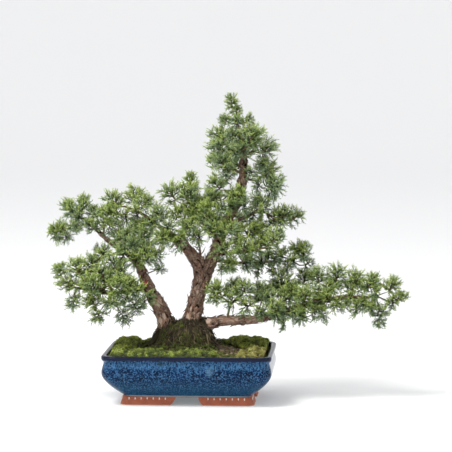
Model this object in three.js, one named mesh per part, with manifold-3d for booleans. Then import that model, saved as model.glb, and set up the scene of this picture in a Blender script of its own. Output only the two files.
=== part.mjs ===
// A kishu juniper bonsai: two gnarled trunks from one root mound, a long low branch to the right,
// and clouds of short cord-like shoots, planted in an oblong glazed pot on four unglazed feet.
// Millimetres, +Z up, +X along the pot's long side, the tree seen from -Y.
// Points are given from the middle of the pot's footprint; the last lines move the whole tree so
// that the middle of its box stands over the origin.

import * as THREE from "three";
import { mergeVertices } from "three/addons/utils/BufferGeometryUtils.js";
import Module from "manifold-3d";

const wasm = await Module();
wasm.setup();

// Clearance between pieces that lie against each other
const GAP = 0.4;

// The pot: an oblong bowl, its outer and inner profiles as [height, half width, corner radius],
// and its half depth this much less than its half width
const POT_HALF_WIDTH_LESS_DEPTH = 25;
const POT_CORNER_STEPS = 3;
const POT_OUTSIDE = [
  [9, 80, 13],
  [12, 83.5, 14],
  [18, 91, 16],
  [24, 98, 16],
  [30, 104, 16],
  [36, 108.2, 15],
  [41, 109.8, 15],
  [46, 109.4, 14],
  [51, 107.8, 13],
  [55.5, 107, 13],
  [59, 109.8, 14],
  [63.5, 110, 14],
  [65, 109.2, 13],
  [65.5, 107.6, 12],
];
const POT_INSIDE = [
  [65.5, 103, 8],
  [64.6, 101.2, 7],
  [58, 100.8, 7],
  [46, 101.5, 7],
  [38, 99, 7],
  [28, 92, 8],
  [18, 81, 9],
  [15, 76, 8],
];
const FLOOR_TOP = 15;

// The foot ring under the bowl, cut into four corner feet by arches through both long and short sides
const FOOT_HALF_WIDTH = 86.75;
const FOOT_TOP_HALF_WIDTH = 83;
const FOOT_WALL = 12;
const FOOT_TOP = 11;
const FOOT_CORNER = 12;
const FOOT_INNER_CORNER = 5;
// Each arch as [half width under the feet, half width at its top], its sides swelling between them
const ARCH_TOP = 10;
const ARCH_BELOW = -2;
const ARCH_SWELL = 2;
const LONG_ARCH_HALF = [24.5, 15];
const SHORT_ARCH_HALF = [20, 12];

// Two drain holes, each under a square of plastic mesh on the pot's floor
const DRAIN_X = 42;
const DRAIN_RADIUS = 8;
const DRAIN_SIDES = 12;
const SCREEN_SIDE = 25;
const SCREEN_THICKNESS = 1.2;
const SCREEN_OPENINGS = 2;
const SCREEN_BAR_WIDTH = 2.2;

// The soil's top: nearly flat at the rim, a little crowned, with a steep root mound round the trunks.
// Its edge along the pot's wall is given as [height, half width, corner radius].
const SOIL_EDGE_Z = 60;
const SOIL_EDGE = [SOIL_EDGE_Z, 100.8, 7];
const SOIL_CROWN = 8;
const MOUND = { x: -9, y: 0, height: 26, halfWidth: 44, halfDepth: 33 };
const SOIL_RINGS = [1, 0.8, 0.63, 0.5, 0.39, 0.26];

// Moss cushions as closed outlines on the soil, each with the height of its middle. Their skin rises
// through these levels, given as [share of the outline, share of the height].
const MOSS_LEVELS = [[1, 0.25], [0.9, 0.68], [0.6, 0.95]];
const MOSS_EDGE_POINTS = 16;
const MOSS_DEPTH = 6;
const MOSS = {
  moss_left: {
    colour: 0x8fa83c,
    rise: 12,
    outline: [[-99, -34], [-80, -38], [-72, -22], [-70, 4], [-70, 34], [-76, 66], [-96, 72], [-99, 20]],
  },
  moss_front_left: {
    colour: 0x76903a,
    rise: 7,
    outline: [[-98, -73], [-60, -74], [-30, -74], [-26, -56], [-44, -45], [-70, -46], [-97, -42]],
  },
  moss_front: {
    colour: 0x6c8536,
    rise: 6,
    outline: [[-22, -74], [8, -74], [34, -73], [38, -58], [22, -50], [-4, -50], [-21, -56]],
  },
  moss_right_front: {
    colour: 0x7b7a3c,
    rise: 6,
    outline: [[62, -74], [97, -72], [99, -38], [98, -6], [80, -4], [70, -22], [60, -50]],
  },
  moss_right: {
    colour: 0x93ab40,
    rise: 11,
    outline: [[58, 14], [78, 4], [98, 6], [99, 42], [96, 72], [66, 74], [44, 70], [46, 40]],
  },
  moss_back: {
    colour: 0x76903a,
    rise: 7,
    outline: [[-58, 70], [-52, 50], [-24, 42], [12, 46], [36, 50], [36, 72], [-10, 74]],
  },
};

// Trunks and limbs: each a centre line from inside its parent, and the diameter at each point
const TRUNKS = {
  main_root: {
    at: [[4, 2, 46], [2, 1, 62], [1, 0, 79], [1, 0, 92]],
    across: [16, 28, 33, 27],
  },
  main_trunk: {
    at: [
      [1, 0, 84], [1, 0, 92], [3, 0, 106], [5, 0, 119], [9, 0, 132], [12, 1, 144], [15, 2, 155],
      [18, 3, 166],
    ],
    across: [30, 26, 20, 18, 18, 19, 19, 17],
  },
  left_root: {
    at: [[-18, -2, 48], [-22, -2, 64], [-26, -3, 79], [-30, -5, 94]],
    across: [14, 24, 26, 20],
  },
  left_trunk: {
    at: [
      [-26, -3, 80], [-30, -5, 94], [-33, -8, 106], [-37, -11, 118], [-43, -14, 129], [-50, -17, 140],
      [-54, -19, 149], [-57, -19, 158], [-62, -16, 169], [-67, -12, 179], [-75, -8, 187], [-89, -5, 195],
      [-102, -3, 202], [-115, -2, 214], [-128, -2, 226], [-138, -3, 234],
    ],
    across: [25, 19, 17.5, 17, 15, 13, 12, 11.5, 10.5, 9.5, 8, 7, 6.4, 5.6, 4.8, 4],
  },
  buried_root: {
    at: [[6, 2, 70], [-12, 0, 66], [-26, -2, 70]],
    across: [20, 18, 18],
  },
};
const SURFACE_ROOTS = [
  { at: [[4, -2, 92], [17, -12, 90], [28, -22, 76]], across: [14, 9, 5] },
  { at: [[-28, -2, 92], [-41, -12, 88], [-50, -20, 74]], across: [13, 8, 5] },
  { at: [[-10, -3, 86], [-13, -18, 91], [-9, -31, 78]], across: [14, 7, 5] },
];
const LIMBS = {
  leader: {
    at: [
      [16, 2, 158], [24, 3, 174], [30, 2, 186], [34, 1, 196], [38, 0, 208], [42, -1, 220], [48, -1, 233],
      [55, -1, 246], [62, -2, 261], [66, -5, 274], [69, -8, 287], [70, -7, 300], [70, -3, 313],
      [69, 0, 328], [65, 0, 343], [61, 0, 360],
    ],
    across: [15, 13.5, 12.5, 12, 11.5, 11.5, 11, 11, 11, 11.5, 11, 9.5, 8, 6.6, 5, 3.6],
  },
  left_limb: {
    at: [
      [17, 2, 159], [11, 0, 174], [5, -3, 185], [-1, -7, 194], [-8, -12, 202], [-18, -17, 211],
      [-30, -20, 220],
    ],
    across: [14, 13, 13, 12.5, 11.5, 9.5, 7],
  },
  low_branch: {
    at: [
      [4, 0, 92], [20, 0, 97], [30, -3, 101], [41, -6, 103], [54, -9, 105], [68, -11, 105], [84, -10, 106],
      [102, -7, 109], [122, -3, 115], [143, 2, 121], [162, 5, 127], [179, 4, 131], [195, 2, 133],
      [211, 0, 135], [225, -1, 134], [236, -2, 135],
    ],
    across: [19, 14, 12.5, 12, 11, 10.5, 9.5, 9, 8.5, 8, 7.4, 6.6, 6, 5.2, 4.4, 3.6],
  },
  lower_left_branch: {
    at: [
      [-54, -19, 150], [-63, -26, 147], [-78, -33, 144], [-94, -38, 142], [-114, -38, 142],
      [-130, -34, 144], [-140, -31, 147],
    ],
    across: [9, 7, 6.4, 5.8, 5, 4.2, 3.4],
  },
  mid_right_branch: {
    at: [[32, 2, 191], [45, -8, 191], [61, -18, 193], [74, -25, 195]],
    across: [7, 5.5, 4.6, 3.6],
  },
  right_lower_branch: {
    at: [[28, 3, 183], [46, 12, 178], [66, 20, 176], [87, 26, 177], [108, 29, 177], [124, 30, 178]],
    across: [6, 4.6, 4.2, 3.8, 3.4, 3],
  },
  right_upper_branch: {
    at: [[46, -1, 229], [58, 6, 231], [68, 10, 235], [77, 13, 242], [92, 15, 244]],
    across: [6, 4.4, 4, 3.8, 3.2],
  },
  canopy_branch: {
    at: [[-8, -12, 203], [-9, -5, 216], [-8, 0, 230], [-6, 3, 244]],
    across: [7, 5.4, 4.6, 3.6],
  },
  upper_left_branch: {
    at: [[-28, -19, 219], [-42, -18, 229], [-54, -12, 238], [-68, -5, 245], [-78, -1, 248]],
    across: [6.6, 5.6, 4.8, 4, 3.2],
  },
  back_high_branch: {
    at: [[37, 0, 207], [32, 18, 212], [23, 38, 218], [16, 49, 221]],
    across: [6.4, 5, 4, 3.2],
  },
  back_right_branch: {
    at: [[34, 1, 196], [45, 18, 199], [60, 36, 204], [68, 45, 206]],
    across: [6.4, 5, 4, 3.2],
  },
};
// Stubs left where a branch was pruned off
const STUBS = [
  { at: [[-53, -18, 150], [-56, -27, 154]], across: [9, 7.5] },
  { at: [[14, 2, 170], [13, -2, 184], [14, -3, 196], [12, -2, 207]], across: [5.5, 4, 3, 2.2] },
  { at: [[12, 0, 146], [20, -7, 148]], across: [8, 5.5] },
  { at: [[68, -11, 105], [70, -17, 101]], across: [6, 4.5] },
];

// Limbs have more sides and shorter steps the thicker they are, given as [girth above, sides, step],
// and those over the ridged girth carry long ridges of this share of their radius
const LIMB_GRADES = [[12, 7, 13], [8, 6, 16], [0, 5, 16]];
const RIDGED_GIRTH = 8;
const RIDGES = 0.1;
// The plain holes that the buried wood stands in
const HOLE_SIDES = 7;
const HOLE_STEP = 11;

// Leafy sprays: a stem from inside its limb, its diameters at both ends, and the tufts that it bears
// as [x, y, z, reach], with thin or drooping ones said so
const SPRAYS = {
  spray_crown_tip: {
    stem: [[61, 0, 358], [59, 0, 367]],
    tufts: [[54, 0, 385, 14], [47, -3, 363, 12], [73, 2, 362, 12], [60, 12, 374, 11]],
  },
  spray_crown_front: {
    stem: [[67, 0, 336], [73, -9, 337]],
    tufts: [[80, -19, 341, 19], [59, -16, 343, 12]],
  },
  spray_crown_left_high: {
    stem: [[70, -3, 313], [60, 5, 321], [54, 6, 325]],
    tufts: [[40, 8, 338, 18], [41, -10, 328, 17], [38, 12, 313, 15]],
  },
  spray_crown_right_high: {
    stem: [[70, -2, 319], [82, 0, 324]],
    tufts: [[97, -8, 325, 18], [82, 15, 338, 17]],
  },
  spray_crown_left_mid: {
    stem: [[69, -8, 296], [59, -13, 300]],
    tufts: [[46, -22, 306, 18]],
  },
  spray_crown_back: {
    stem: [[69, -5, 306], [67, 12, 309]],
    tufts: [[68, 31, 320, 16], [52, 27, 302, 15]],
  },
  spray_crown_right_mid: {
    stem: [[69, -8, 289], [85, -4, 286]],
    tufts: [[99, 8, 296, 17], [107, -13, 279, 17]],
  },
  spray_crown_left_low: {
    stem: [[66, -5, 273], [54, -14, 273]],
    tufts: [[37, -24, 280, 15], [63, -27, 266, 15], [31, -2, 262, 13]],
  },
  spray_right_upper: {
    stem: [[91, 15, 244], [99, 13, 243]],
    tufts: [[108, 18, 233, 16], [119, 4, 239, 15], [134, 14, 236, 14], [93, -5, 253, 14]],
  },
  spray_front_high: {
    stem: [[44, -1, 225], [51, -16, 219]],
    tufts: [[34, -32, 222, 15], [57, -33, 222, 15], [80, -20, 221, 15]],
  },
  spray_mid_right: {
    stem: [[72, -24, 195], [80, -27, 197]],
    tufts: [[73, -40, 199, 16], [93, -22, 201, 16], [111, -31, 212, 15]],
  },
  spray_mid_right_near: {
    stem: [[45, -8, 191], [48, -18, 192]],
    tufts: [[47, -30, 196, 15], [54, -24, 175, 11, "thin"]],
  },
  spray_right_lower: {
    stem: [[123, 30, 178], [131, 29, 180]],
    tufts: [[142, 28, 191, 15], [117, 26, 189, 12, "thin"], [152, 30, 175, 11, "thin"]],
  },
  spray_canopy_top: {
    stem: [[-6, 3, 242], [-5, 4, 252]],
    tufts: [[-23, 9, 264, 17], [-3, -8, 267, 17], [-1, 9, 284, 12]],
  },
  spray_canopy_front: {
    stem: [[38, 0, 209], [28, -12, 216], [19, -20, 224]],
    tufts: [[23, -22, 244, 17], [6, -8, 241, 16], [1, -26, 217, 16]],
  },
  spray_canopy_left: {
    stem: [[-27, -19, 218], [-25, -20, 230]],
    tufts: [[-38, -26, 240, 16], [-16, -8, 240, 15], [-30, -38, 214, 14]],
  },
  spray_upper_left: {
    stem: [[-77, -1, 248], [-86, 2, 251]],
    tufts: [[-99, 2, 256, 16], [-76, 16, 262, 15], [-58, -18, 256, 14]],
  },
  spray_left_ridge: {
    stem: [[-114, -2, 213], [-112, -8, 223]],
    tufts: [[-109, -13, 236, 16], [-125, 4, 240, 12], [-126, -18, 226, 13]],
  },
  spray_left_end: {
    stem: [[-137, -3, 233], [-146, -4, 238]],
    tufts: [[-158, -3, 247, 16], [-141, 8, 254, 13], [-172, -12, 221, 13], [-148, -16, 224, 14]],
  },
  spray_left_mid: {
    stem: [[-66, -13, 178], [-68, -19, 188], [-68, -22, 196]],
    tufts: [[-84, -22, 205, 16], [-60, -20, 212, 16], [-54, -36, 186, 15]],
  },
  spray_left_back: {
    stem: [[-67, -12, 179], [-72, 6, 186], [-77, 22, 192]],
    tufts: [[-90, 34, 202, 15], [-66, 34, 194, 15], [-78, 46, 209, 15]],
  },
  spray_left_shade: {
    stem: [[-90, -5, 195], [-104, 8, 187]],
    tufts: [[-119, 18, 187, 14, "thin"]],
  },
  spray_lower_left_tip: {
    stem: [[-138, -31, 146], [-147, -30, 148]],
    tufts: [[-156, -32, 151, 14], [-168, -26, 167, 12], [-148, -38, 131, 12, "droop"]],
  },
  spray_lower_left_top: {
    stem: [[-128, -34, 144], [-132, -33, 157]],
    tufts: [[-143, -37, 171, 16], [-126, -26, 174, 16]],
  },
  spray_lower_left_mid: {
    stem: [[-98, -38, 142], [-101, -43, 153]],
    tufts: [[-109, -48, 165, 17], [-91, -38, 165, 16], [-122, -60, 154, 15], [-87, -62, 153, 15]],
  },
  spray_lower_left_near: {
    stem: [[-72, -31, 145], [-71, -41, 142]],
    tufts: [[-73, -50, 150, 16], [-68, -38, 124, 14], [-52, -40, 134, 12, "thin"]],
  },
  spray_lower_left_low: {
    stem: [[-98, -38, 142], [-101, -46, 133]],
    tufts: [
      [-97, -56, 130, 15], [-115, -44, 114, 11, "droop"], [-84, -40, 112, 12, "droop"], [-122, -44, 129, 14],
    ],
  },
  spray_lower_left_back: {
    stem: [[-108, -38, 142], [-111, -25, 145]],
    tufts: [[-111, -8, 150, 15], [-134, -6, 158, 13]],
  },
  spray_low_near: {
    stem: [[48, -8, 104], [51, -13, 116], [54, -15, 127]],
    tufts: [[40, -18, 141, 16], [71, -27, 144, 16], [56, 4, 142, 14]],
  },
  spray_low_second: {
    stem: [[84, -10, 106], [91, -13, 120]],
    tufts: [[95, -15, 138, 17], [112, -34, 121, 14], [92, 12, 132, 14]],
  },
  spray_low_third: {
    stem: [[114, -5, 112], [118, -6, 128]],
    tufts: [[118, 2, 151, 18], [130, -21, 139, 16]],
  },
  spray_low_middle: {
    stem: [[140, 1, 120], [144, -13, 121]],
    tufts: [[151, -29, 136, 15], [143, -26, 114, 13], [164, -20, 119, 14]],
  },
  spray_low_back: {
    stem: [[141, 2, 121], [138, 22, 127]],
    tufts: [[131, 40, 138, 15], [148, 30, 152, 15], [113, 28, 138, 14]],
  },
  spray_low_far: {
    stem: [[178, 4, 131], [180, 6, 143]],
    tufts: [[166, 8, 158, 16], [191, 4, 160, 16], [184, 26, 145, 14]],
  },
  spray_low_far_front: {
    stem: [[178, 4, 131], [181, -9, 129]],
    tufts: [[178, -20, 134, 14], [200, -12, 124, 11, "thin"]],
  },
  spray_low_end_near: {
    stem: [[207, 1, 134], [210, 6, 143]],
    tufts: [[215, -3, 157, 14], [212, 22, 145, 14], [221, 16, 126, 12]],
  },
  spray_low_end: {
    stem: [[234, -2, 135], [243, -3, 137]],
    tufts: [
      [238, -6, 153, 15], [261, -2, 148, 15], [236, -17, 122, 12], [246, -8, 107, 12, "droop"],
      [271, -3, 134, 12],
    ],
  },
  spray_back_high: {
    stem: [[17, 48, 221], [12, 55, 224]],
    tufts: [[2, 46, 232, 15], [26, 64, 226, 15], [6, 68, 242, 15]],
  },
  spray_back_right: {
    stem: [[67, 44, 206], [73, 50, 208]],
    tufts: [[64, 50, 226, 15], [88, 54, 216, 15]],
  },
  spray_back_canopy: {
    stem: [[42, -1, 220], [31, 16, 230], [19, 29, 238]],
    tufts: [[3, 38, 252, 16], [25, 36, 256, 15]],
  },
};
const STEM_DIAMETERS = [3.8, 2.8];
const TWIG_DIAMETER = 2;
// A twig longer than this has a bend in it, and the others leave the stem this far before its end
const SHORT_TWIG = 17;
const FORK_BACK = 1.2;
// A tuft's reach as drawn, for each unit given above
const FULLNESS = 1.28;

// Tufts: a slim six-sided core on its own twig, alternate faces of the core drawn out into pointed
// shoots. The core is given as [share of its length, radius] for a tuft of this reach, and scales
// with it; its head ends in a leading shoot of its own. Other pieces leave the core its room.
const TUFT_REACH = 21;
const CORE_LENGTH = 13;
const CORE = [[0.3, 2.9], [0.64, 3.3], [1, 1.9]];
const CORE_CENTRE = 0.62;
const CORE_ROOM = 3.1;
const STEM_SIDES = 3;
const CORE_SIDES = 2 * STEM_SIDES;
// Tufts turn up from their twigs, the drooping ones down
const TURN_UP = 0.7;
const TURN_DOWN = -0.6;
// Shoots: from leaning back at the core's foot to leaning on at its head, a little lifted, with their
// directions and lengths varied, and shorter where they point down or find little room
const SHOOT_START = 3;
const SHOOT_BASE_RADIUS = 1.9;
const SHOOT_TIP_RADIUS = 0.1;
const SHOOT_LEAN = [-0.45, 1.3];
const SHOOT_LIFT = 0.12;
const SHOOT_JITTER = 0.2;
const LENGTH_SPREAD = 0.14;
const DOWNWARD = -0.35;
const DOWNWARD_SHARE = 0.7;
const CROWDED_SHARE = 0.72;
const CROWDED_TRIES = 5;
const SHOOT_TRIES = 9;
const THIN_SHARE = 0.6;
// Shoots keep this far from other pieces, from others of their tuft, and above the soil's edge
const SHOOT_CLEARANCE = 0.4;
const FAMILY_CLEARANCE = 0.15;
const ABOVE_SOIL = 14;
const SEED = 20417;

const BARK = new THREE.MeshStandardMaterial({ color: 0x6b4a3a, roughness: 0.85 });
const GLAZE = new THREE.MeshStandardMaterial({ color: 0x1e2f78, roughness: 0.15 });
const SOIL = new THREE.MeshStandardMaterial({ color: 0x3a2a20, roughness: 0.95 });
const MESH_PLASTIC = new THREE.MeshStandardMaterial({ color: 0x20242a, roughness: 0.6 });
const FOLIAGE = new THREE.MeshStandardMaterial({ color: 0x4f6d2c, roughness: 0.7 });

const UP = new THREE.Vector3(0, 0, 1);
const vector = ([x, y, z]) => new THREE.Vector3(x, y, z);

// Seeded draws between 0 and 1, so that every run grows the same tree
function seededRandom(seed) {
  let state = seed;
  return () => {
    state = (state * 1664525 + 1013904223) % 4294967296;
    return state / 4294967296;
  };
}
const random = seededRandom(SEED);
const spread = (amount) => (random() * 2 - 1) * amount;

// A closed solid from points and triangles
function solidOf(points, triangles) {
  const vertProperties = new Float32Array(points.flatMap((p) => [p.x, p.y, p.z]));
  const triVerts = new Uint32Array(triangles.flat());
  return new wasm.Manifold(new wasm.Mesh({ numProp: 3, vertProperties, triVerts }));
}

function solidOfGeometry(geometry) {
  const bare = geometry.clone().deleteAttribute("normal").deleteAttribute("uv");
  const merged = mergeVertices(bare, 1e-4);
  const vertProperties = merged.attributes.position.array;
  const triVerts = new Uint32Array(merged.index.array);
  return new wasm.Manifold(new wasm.Mesh({ numProp: 3, vertProperties, triVerts }));
}

function meshOf(name, solid, material) {
  const data = solid.getMesh();
  const geometry = new THREE.BufferGeometry();
  geometry.setAttribute("position", new THREE.BufferAttribute(data.vertProperties, 3));
  geometry.setIndex(new THREE.BufferAttribute(data.triVerts, 1));
  const mesh = new THREE.Mesh(geometry, material);
  mesh.name = name;
  return mesh;
}

const join = (solids) => solids.reduce((whole, solid) => whole.add(solid));

// A union's or a cut's main body, without the loose scraps that may fall off it
function largestBody(solid) {
  const bodies = solid.decompose();
  return bodies.reduce((most, body) => (body.volume() > most.volume() ? body : most));
}

// The triangles of a skin over rings that turn anticlockwise about the way from the first to the last.
// A ring of one point is a tip, a ring may have twice the points of the one before it, and an end
// ring of several points is closed flat.
function loftTriangles(rings) {
  const triangles = [];
  let start = 0;
  rings.forEach((ring, level) => {
    const next = start + ring.length;
    const above = rings[level + 1];
    const sides = above ? Math.max(ring.length, above.length) : 0;
    const doubled = above && ring.length > 1 && above.length === 2 * ring.length;
    for (let i = 0; i < sides; i += 1) {
      const j = (i + 1) % sides;
      const low = (k) => start + (doubled ? Math.floor(k / 2) : k % ring.length);
      const high = (k) => next + (k % above.length);
      if (doubled && i % 2 === 0) {
        triangles.push([low(i), high(j), high(i)]);
        triangles.push([low(i), low(j + 1 === sides ? 0 : j + 1), high(j)]);
      } else if (doubled) {
        triangles.push([low(j), high(j), high(i)]);
      } else {
        if (ring.length > 1) triangles.push([low(i), low(j), high(j)]);
        if (above.length > 1) triangles.push([low(i), high(j), high(i)]);
      }
    }
    for (let i = 2; i < ring.length; i += 1) {
      if (level === 0) triangles.push([start, start + i, start + i - 1]);
      if (!above) triangles.push([start, start + i - 1, start + i]);
    }
    start = next;
  });
  return triangles;
}

const loft = (rings) => solidOf(rings.flat(), loftTriangles(rings));

// A rounded rectangle at one height, anticlockwise seen from above
function roundedRing(halfX, halfY, corner, z) {
  const ring = [];
  for (let quarter = 0; quarter < 4; quarter += 1) {
    const signX = quarter === 0 || quarter === 3 ? 1 : -1;
    const signY = quarter < 2 ? 1 : -1;
    for (let step = 0; step <= POT_CORNER_STEPS; step += 1) {
      const angle = (quarter + step / POT_CORNER_STEPS) * (Math.PI / 2);
      const x = signX * (halfX - corner) + corner * Math.cos(angle);
      const y = signY * (halfY - corner) + corner * Math.sin(angle);
      ring.push(new THREE.Vector3(x, y, z));
    }
  }
  return ring;
}

function potRing([z, halfWidth, corner], inset = 0) {
  const halfX = halfWidth - inset;
  return roundedRing(halfX, halfX - POT_HALF_WIDTH_LESS_DEPTH, corner - inset, z);
}

// An arch through the foot ring, along Y, or along X when turned
function archSolid([bottomHalf, topHalf], length, turned) {
  const swell = topHalf + ARCH_SWELL;
  const outline = new THREE.Shape();
  outline.moveTo(-bottomHalf, ARCH_BELOW);
  outline.lineTo(bottomHalf, ARCH_BELOW);
  outline.quadraticCurveTo(swell, ARCH_SWELL, topHalf, ARCH_TOP);
  outline.lineTo(-topHalf, ARCH_TOP);
  outline.quadraticCurveTo(-swell, ARCH_SWELL, -bottomHalf, ARCH_BELOW);
  const options = { depth: length, bevelEnabled: false, curveSegments: 3 };
  const geometry = new THREE.ExtrudeGeometry(outline, options);
  geometry.translate(0, 0, -length / 2);
  geometry.rotateX(Math.PI / 2);
  if (turned) geometry.rotateZ(Math.PI / 2);
  return solidOfGeometry(geometry);
}

function makePot() {
  const bowl = loft([...POT_OUTSIDE, ...POT_INSIDE].map((profile) => potRing(profile)));
  const outer = [[0, FOOT_HALF_WIDTH, FOOT_CORNER], [FOOT_TOP, FOOT_TOP_HALF_WIDTH, FOOT_CORNER]];
  const ring = loft(outer.map((profile) => potRing(profile)));
  const hollow = loft([
    potRing([-1, FOOT_HALF_WIDTH - FOOT_WALL, FOOT_INNER_CORNER]),
    potRing([FOOT_TOP + 1, FOOT_TOP_HALF_WIDTH - FOOT_WALL, FOOT_INNER_CORNER]),
  ]);
  const feet = ring
    .subtract(hollow)
    .subtract(archSolid(LONG_ARCH_HALF, 2 * FOOT_HALF_WIDTH, false))
    .subtract(archSolid(SHORT_ARCH_HALF, 3 * FOOT_HALF_WIDTH, true));
  let pot = bowl.add(feet);
  for (const side of [-1, 1]) {
    const hole = new THREE.CylinderGeometry(DRAIN_RADIUS, DRAIN_RADIUS, FLOOR_TOP * 2, DRAIN_SIDES);
    hole.rotateX(Math.PI / 2).translate(side * DRAIN_X, 0, FLOOR_TOP);
    pot = pot.subtract(solidOfGeometry(hole));
  }
  return meshOf("pot", pot, GLAZE);
}

// A square of plastic mesh: a sheet with square openings between its bars
function makeScreen(name, x) {
  let sheet = solidOfGeometry(new THREE.BoxGeometry(SCREEN_SIDE, SCREEN_SIDE, SCREEN_THICKNESS));
  const pitch = (SCREEN_SIDE - SCREEN_BAR_WIDTH) / SCREEN_OPENINGS;
  const opening = pitch - SCREEN_BAR_WIDTH;
  for (let column = 0; column < SCREEN_OPENINGS; column += 1) {
    for (let row = 0; row < SCREEN_OPENINGS; row += 1) {
      const middle = (SCREEN_OPENINGS - 1) / 2;
      const hole = new THREE.BoxGeometry(opening, opening, SCREEN_THICKNESS * 2);
      hole.translate((column - middle) * pitch, (row - middle) * pitch, 0);
      sheet = sheet.subtract(solidOfGeometry(hole));
    }
  }
  const mesh = meshOf(name, sheet, MESH_PLASTIC);
  mesh.position.set(x, 0, FLOOR_TOP + GAP + SCREEN_THICKNESS / 2);
  return mesh;
}

// Height of the soil over a point
function soilHeight(x, y) {
  const [, halfX] = SOIL_EDGE;
  const halfY = halfX - POT_HALF_WIDTH_LESS_DEPTH;
  const crown = SOIL_CROWN * (1 - (x / halfX) ** 2) * (1 - (y / halfY) ** 2);
  const away = Math.hypot((x - MOUND.x) / MOUND.halfWidth, (y - MOUND.y) / MOUND.halfDepth);
  return SOIL_EDGE_Z + crown + MOUND.height / (1 + away ** 6);
}

// The soil fills the pot; a copy lifted a little cuts the underside of what lies on it
function soilSolid(lift) {
  const walls = POT_INSIDE.filter(([z]) => z < SOIL_EDGE_Z)
    .reverse()
    .map(([z, halfWidth, corner]) => potRing([z === FLOOR_TOP ? z + GAP : z, halfWidth, corner], GAP));
  const edge = potRing(SOIL_EDGE, GAP);
  const surface = SOIL_RINGS.map((share) =>
    edge.map((point) => {
      const x = MOUND.x + (point.x - MOUND.x) * share;
      const y = MOUND.y + (point.y - MOUND.y) * share;
      return new THREE.Vector3(x, y, soilHeight(x, y) + lift);
    }),
  );
  const peak = [new THREE.Vector3(MOUND.x, MOUND.y, soilHeight(MOUND.x, MOUND.y) + lift)];
  return loft([...walls, ...surface, peak]);
}

// A moss cushion: domed over its outline, gently lumpy, its underside cut by the soil
function makeMoss(name, { outline, rise, colour }) {
  const corners = outline.map(([x, y]) => new THREE.Vector3(x, y, 0));
  const round = new THREE.CatmullRomCurve3(corners, true, "centripetal");
  const edge = round.getSpacedPoints(MOSS_EDGE_POINTS).slice(0, -1);
  const middle = edge.reduce((sum, point) => sum.add(point), new THREE.Vector3());
  middle.divideScalar(edge.length);
  const rings = MOSS_LEVELS.map(([share, height]) =>
    edge.map((point) => {
      const x = middle.x + (point.x - middle.x) * share;
      const y = middle.y + (point.y - middle.y) * share;
      const lump = 0.1 * Math.sin(x / 6.5 + y / 9) + 0.08 * Math.cos(y / 5.5 - x / 12);
      return new THREE.Vector3(x, y, soilHeight(x, y) + rise * (height + lump * share));
    }),
  );
  const base = edge.map((point) => new THREE.Vector3(point.x, point.y, SOIL_EDGE_Z - MOSS_DEPTH));
  const top = [new THREE.Vector3(middle.x, middle.y, soilHeight(middle.x, middle.y) + rise)];
  const bottom = [new THREE.Vector3(middle.x, middle.y, SOIL_EDGE_Z - MOSS_DEPTH)];
  const [z, ...plan] = SOIL_EDGE;
  const heights = [z - 2 * MOSS_DEPTH, z + 2 * MOUND.height];
  const room = loft(heights.map((height) => potRing([height, ...plan], GAP)));
  const cushion = loft([bottom, base, ...rings, top]).subtract(soilSolid(GAP)).intersect(room);
  return meshOf(name, cushion, new THREE.MeshStandardMaterial({ color: colour, roughness: 0.95 }));
}

// Diameter at a share of a centre line's length, between the diameters at its points
function diameterAt(curve, across, share) {
  const place = curve.getUtoTmapping(share) * (across.length - 1);
  const index = Math.min(Math.floor(place), across.length - 2);
  return THREE.MathUtils.lerp(across[index], across[index + 1], place - index);
}

const centreLine = (points) => new THREE.CatmullRomCurve3(points.map(vector), false, "centripetal");

// A limb along its centre line, its sides and steps by its girth, with long ridges on the thick ones
function limbSolid({ at, across }) {
  const curve = centreLine(at);
  const girth = Math.max(...across);
  const [, sides, length] = LIMB_GRADES.find(([above]) => girth > above);
  const steps = Math.max(1, Math.round(curve.getLength() / length));
  const frames = curve.computeFrenetFrames(steps, false);
  const rings = [];
  for (let step = 0; step <= steps; step += 1) {
    const share = step / steps;
    const middle = curve.getPointAt(share);
    const along = share * curve.getLength();
    const radius = diameterAt(curve, across, share) / 2;
    const ring = [];
    for (let side = 0; side < sides; side += 1) {
      const angle = (side / sides) * Math.PI * 2;
      const ridge = 0.65 * Math.cos(3 * angle + along / 17) + 0.35 * Math.cos(2 * angle - along / 11);
      const reach = radius * (girth > RIDGED_GIRTH ? 1 + RIDGES * ridge : 1);
      const point = middle.clone().addScaledVector(frames.normals[step], Math.cos(angle) * reach);
      ring.push(point.addScaledVector(frames.binormals[step], Math.sin(angle) * reach));
    }
    rings.push(ring);
  }
  return loft(rings);
}

// A straight-sided rod through its points, closed flat at both ends
function rodRings(points, diameters, sides) {
  return points.map((point, i) => {
    const before = points[Math.max(0, i - 1)];
    const after = points[Math.min(points.length - 1, i + 1)];
    const way = after.clone().sub(before).normalize();
    const aside = (Math.abs(way.z) < 0.9 ? UP.clone() : new THREE.Vector3(1, 0, 0)).cross(way).normalize();
    const over = way.clone().cross(aside);
    return Array.from({ length: sides }, (_, side) => {
      const angle = (side / sides) * Math.PI * 2;
      const onRing = point.clone().addScaledVector(aside, (Math.cos(angle) * diameters[i]) / 2);
      return onRing.addScaledVector(over, (Math.sin(angle) * diameters[i]) / 2);
    });
  });
}

// The plain hole that a buried limb stands in: wider than the limb's ridges by the gap
function holeSolid({ at, across }) {
  const cornerShare = 1 / Math.cos(Math.PI / HOLE_SIDES);
  const widths = across.map((diameter) => (diameter * (1 + RIDGES) + 2 * GAP) * cornerShare);
  const curve = centreLine(at);
  const steps = Math.max(1, Math.round(curve.getLength() / HOLE_STEP));
  const points = curve.getSpacedPoints(steps);
  const way = curve.getTangentAt(0);
  points[0].addScaledVector(way, -GAP);
  points[steps].addScaledVector(curve.getTangentAt(1), GAP);
  const diameters = points.map((_, i) => diameterAt(curve, widths, i / steps));
  return loft(rodRings(points, diameters, HOLE_SIDES));
}

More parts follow.
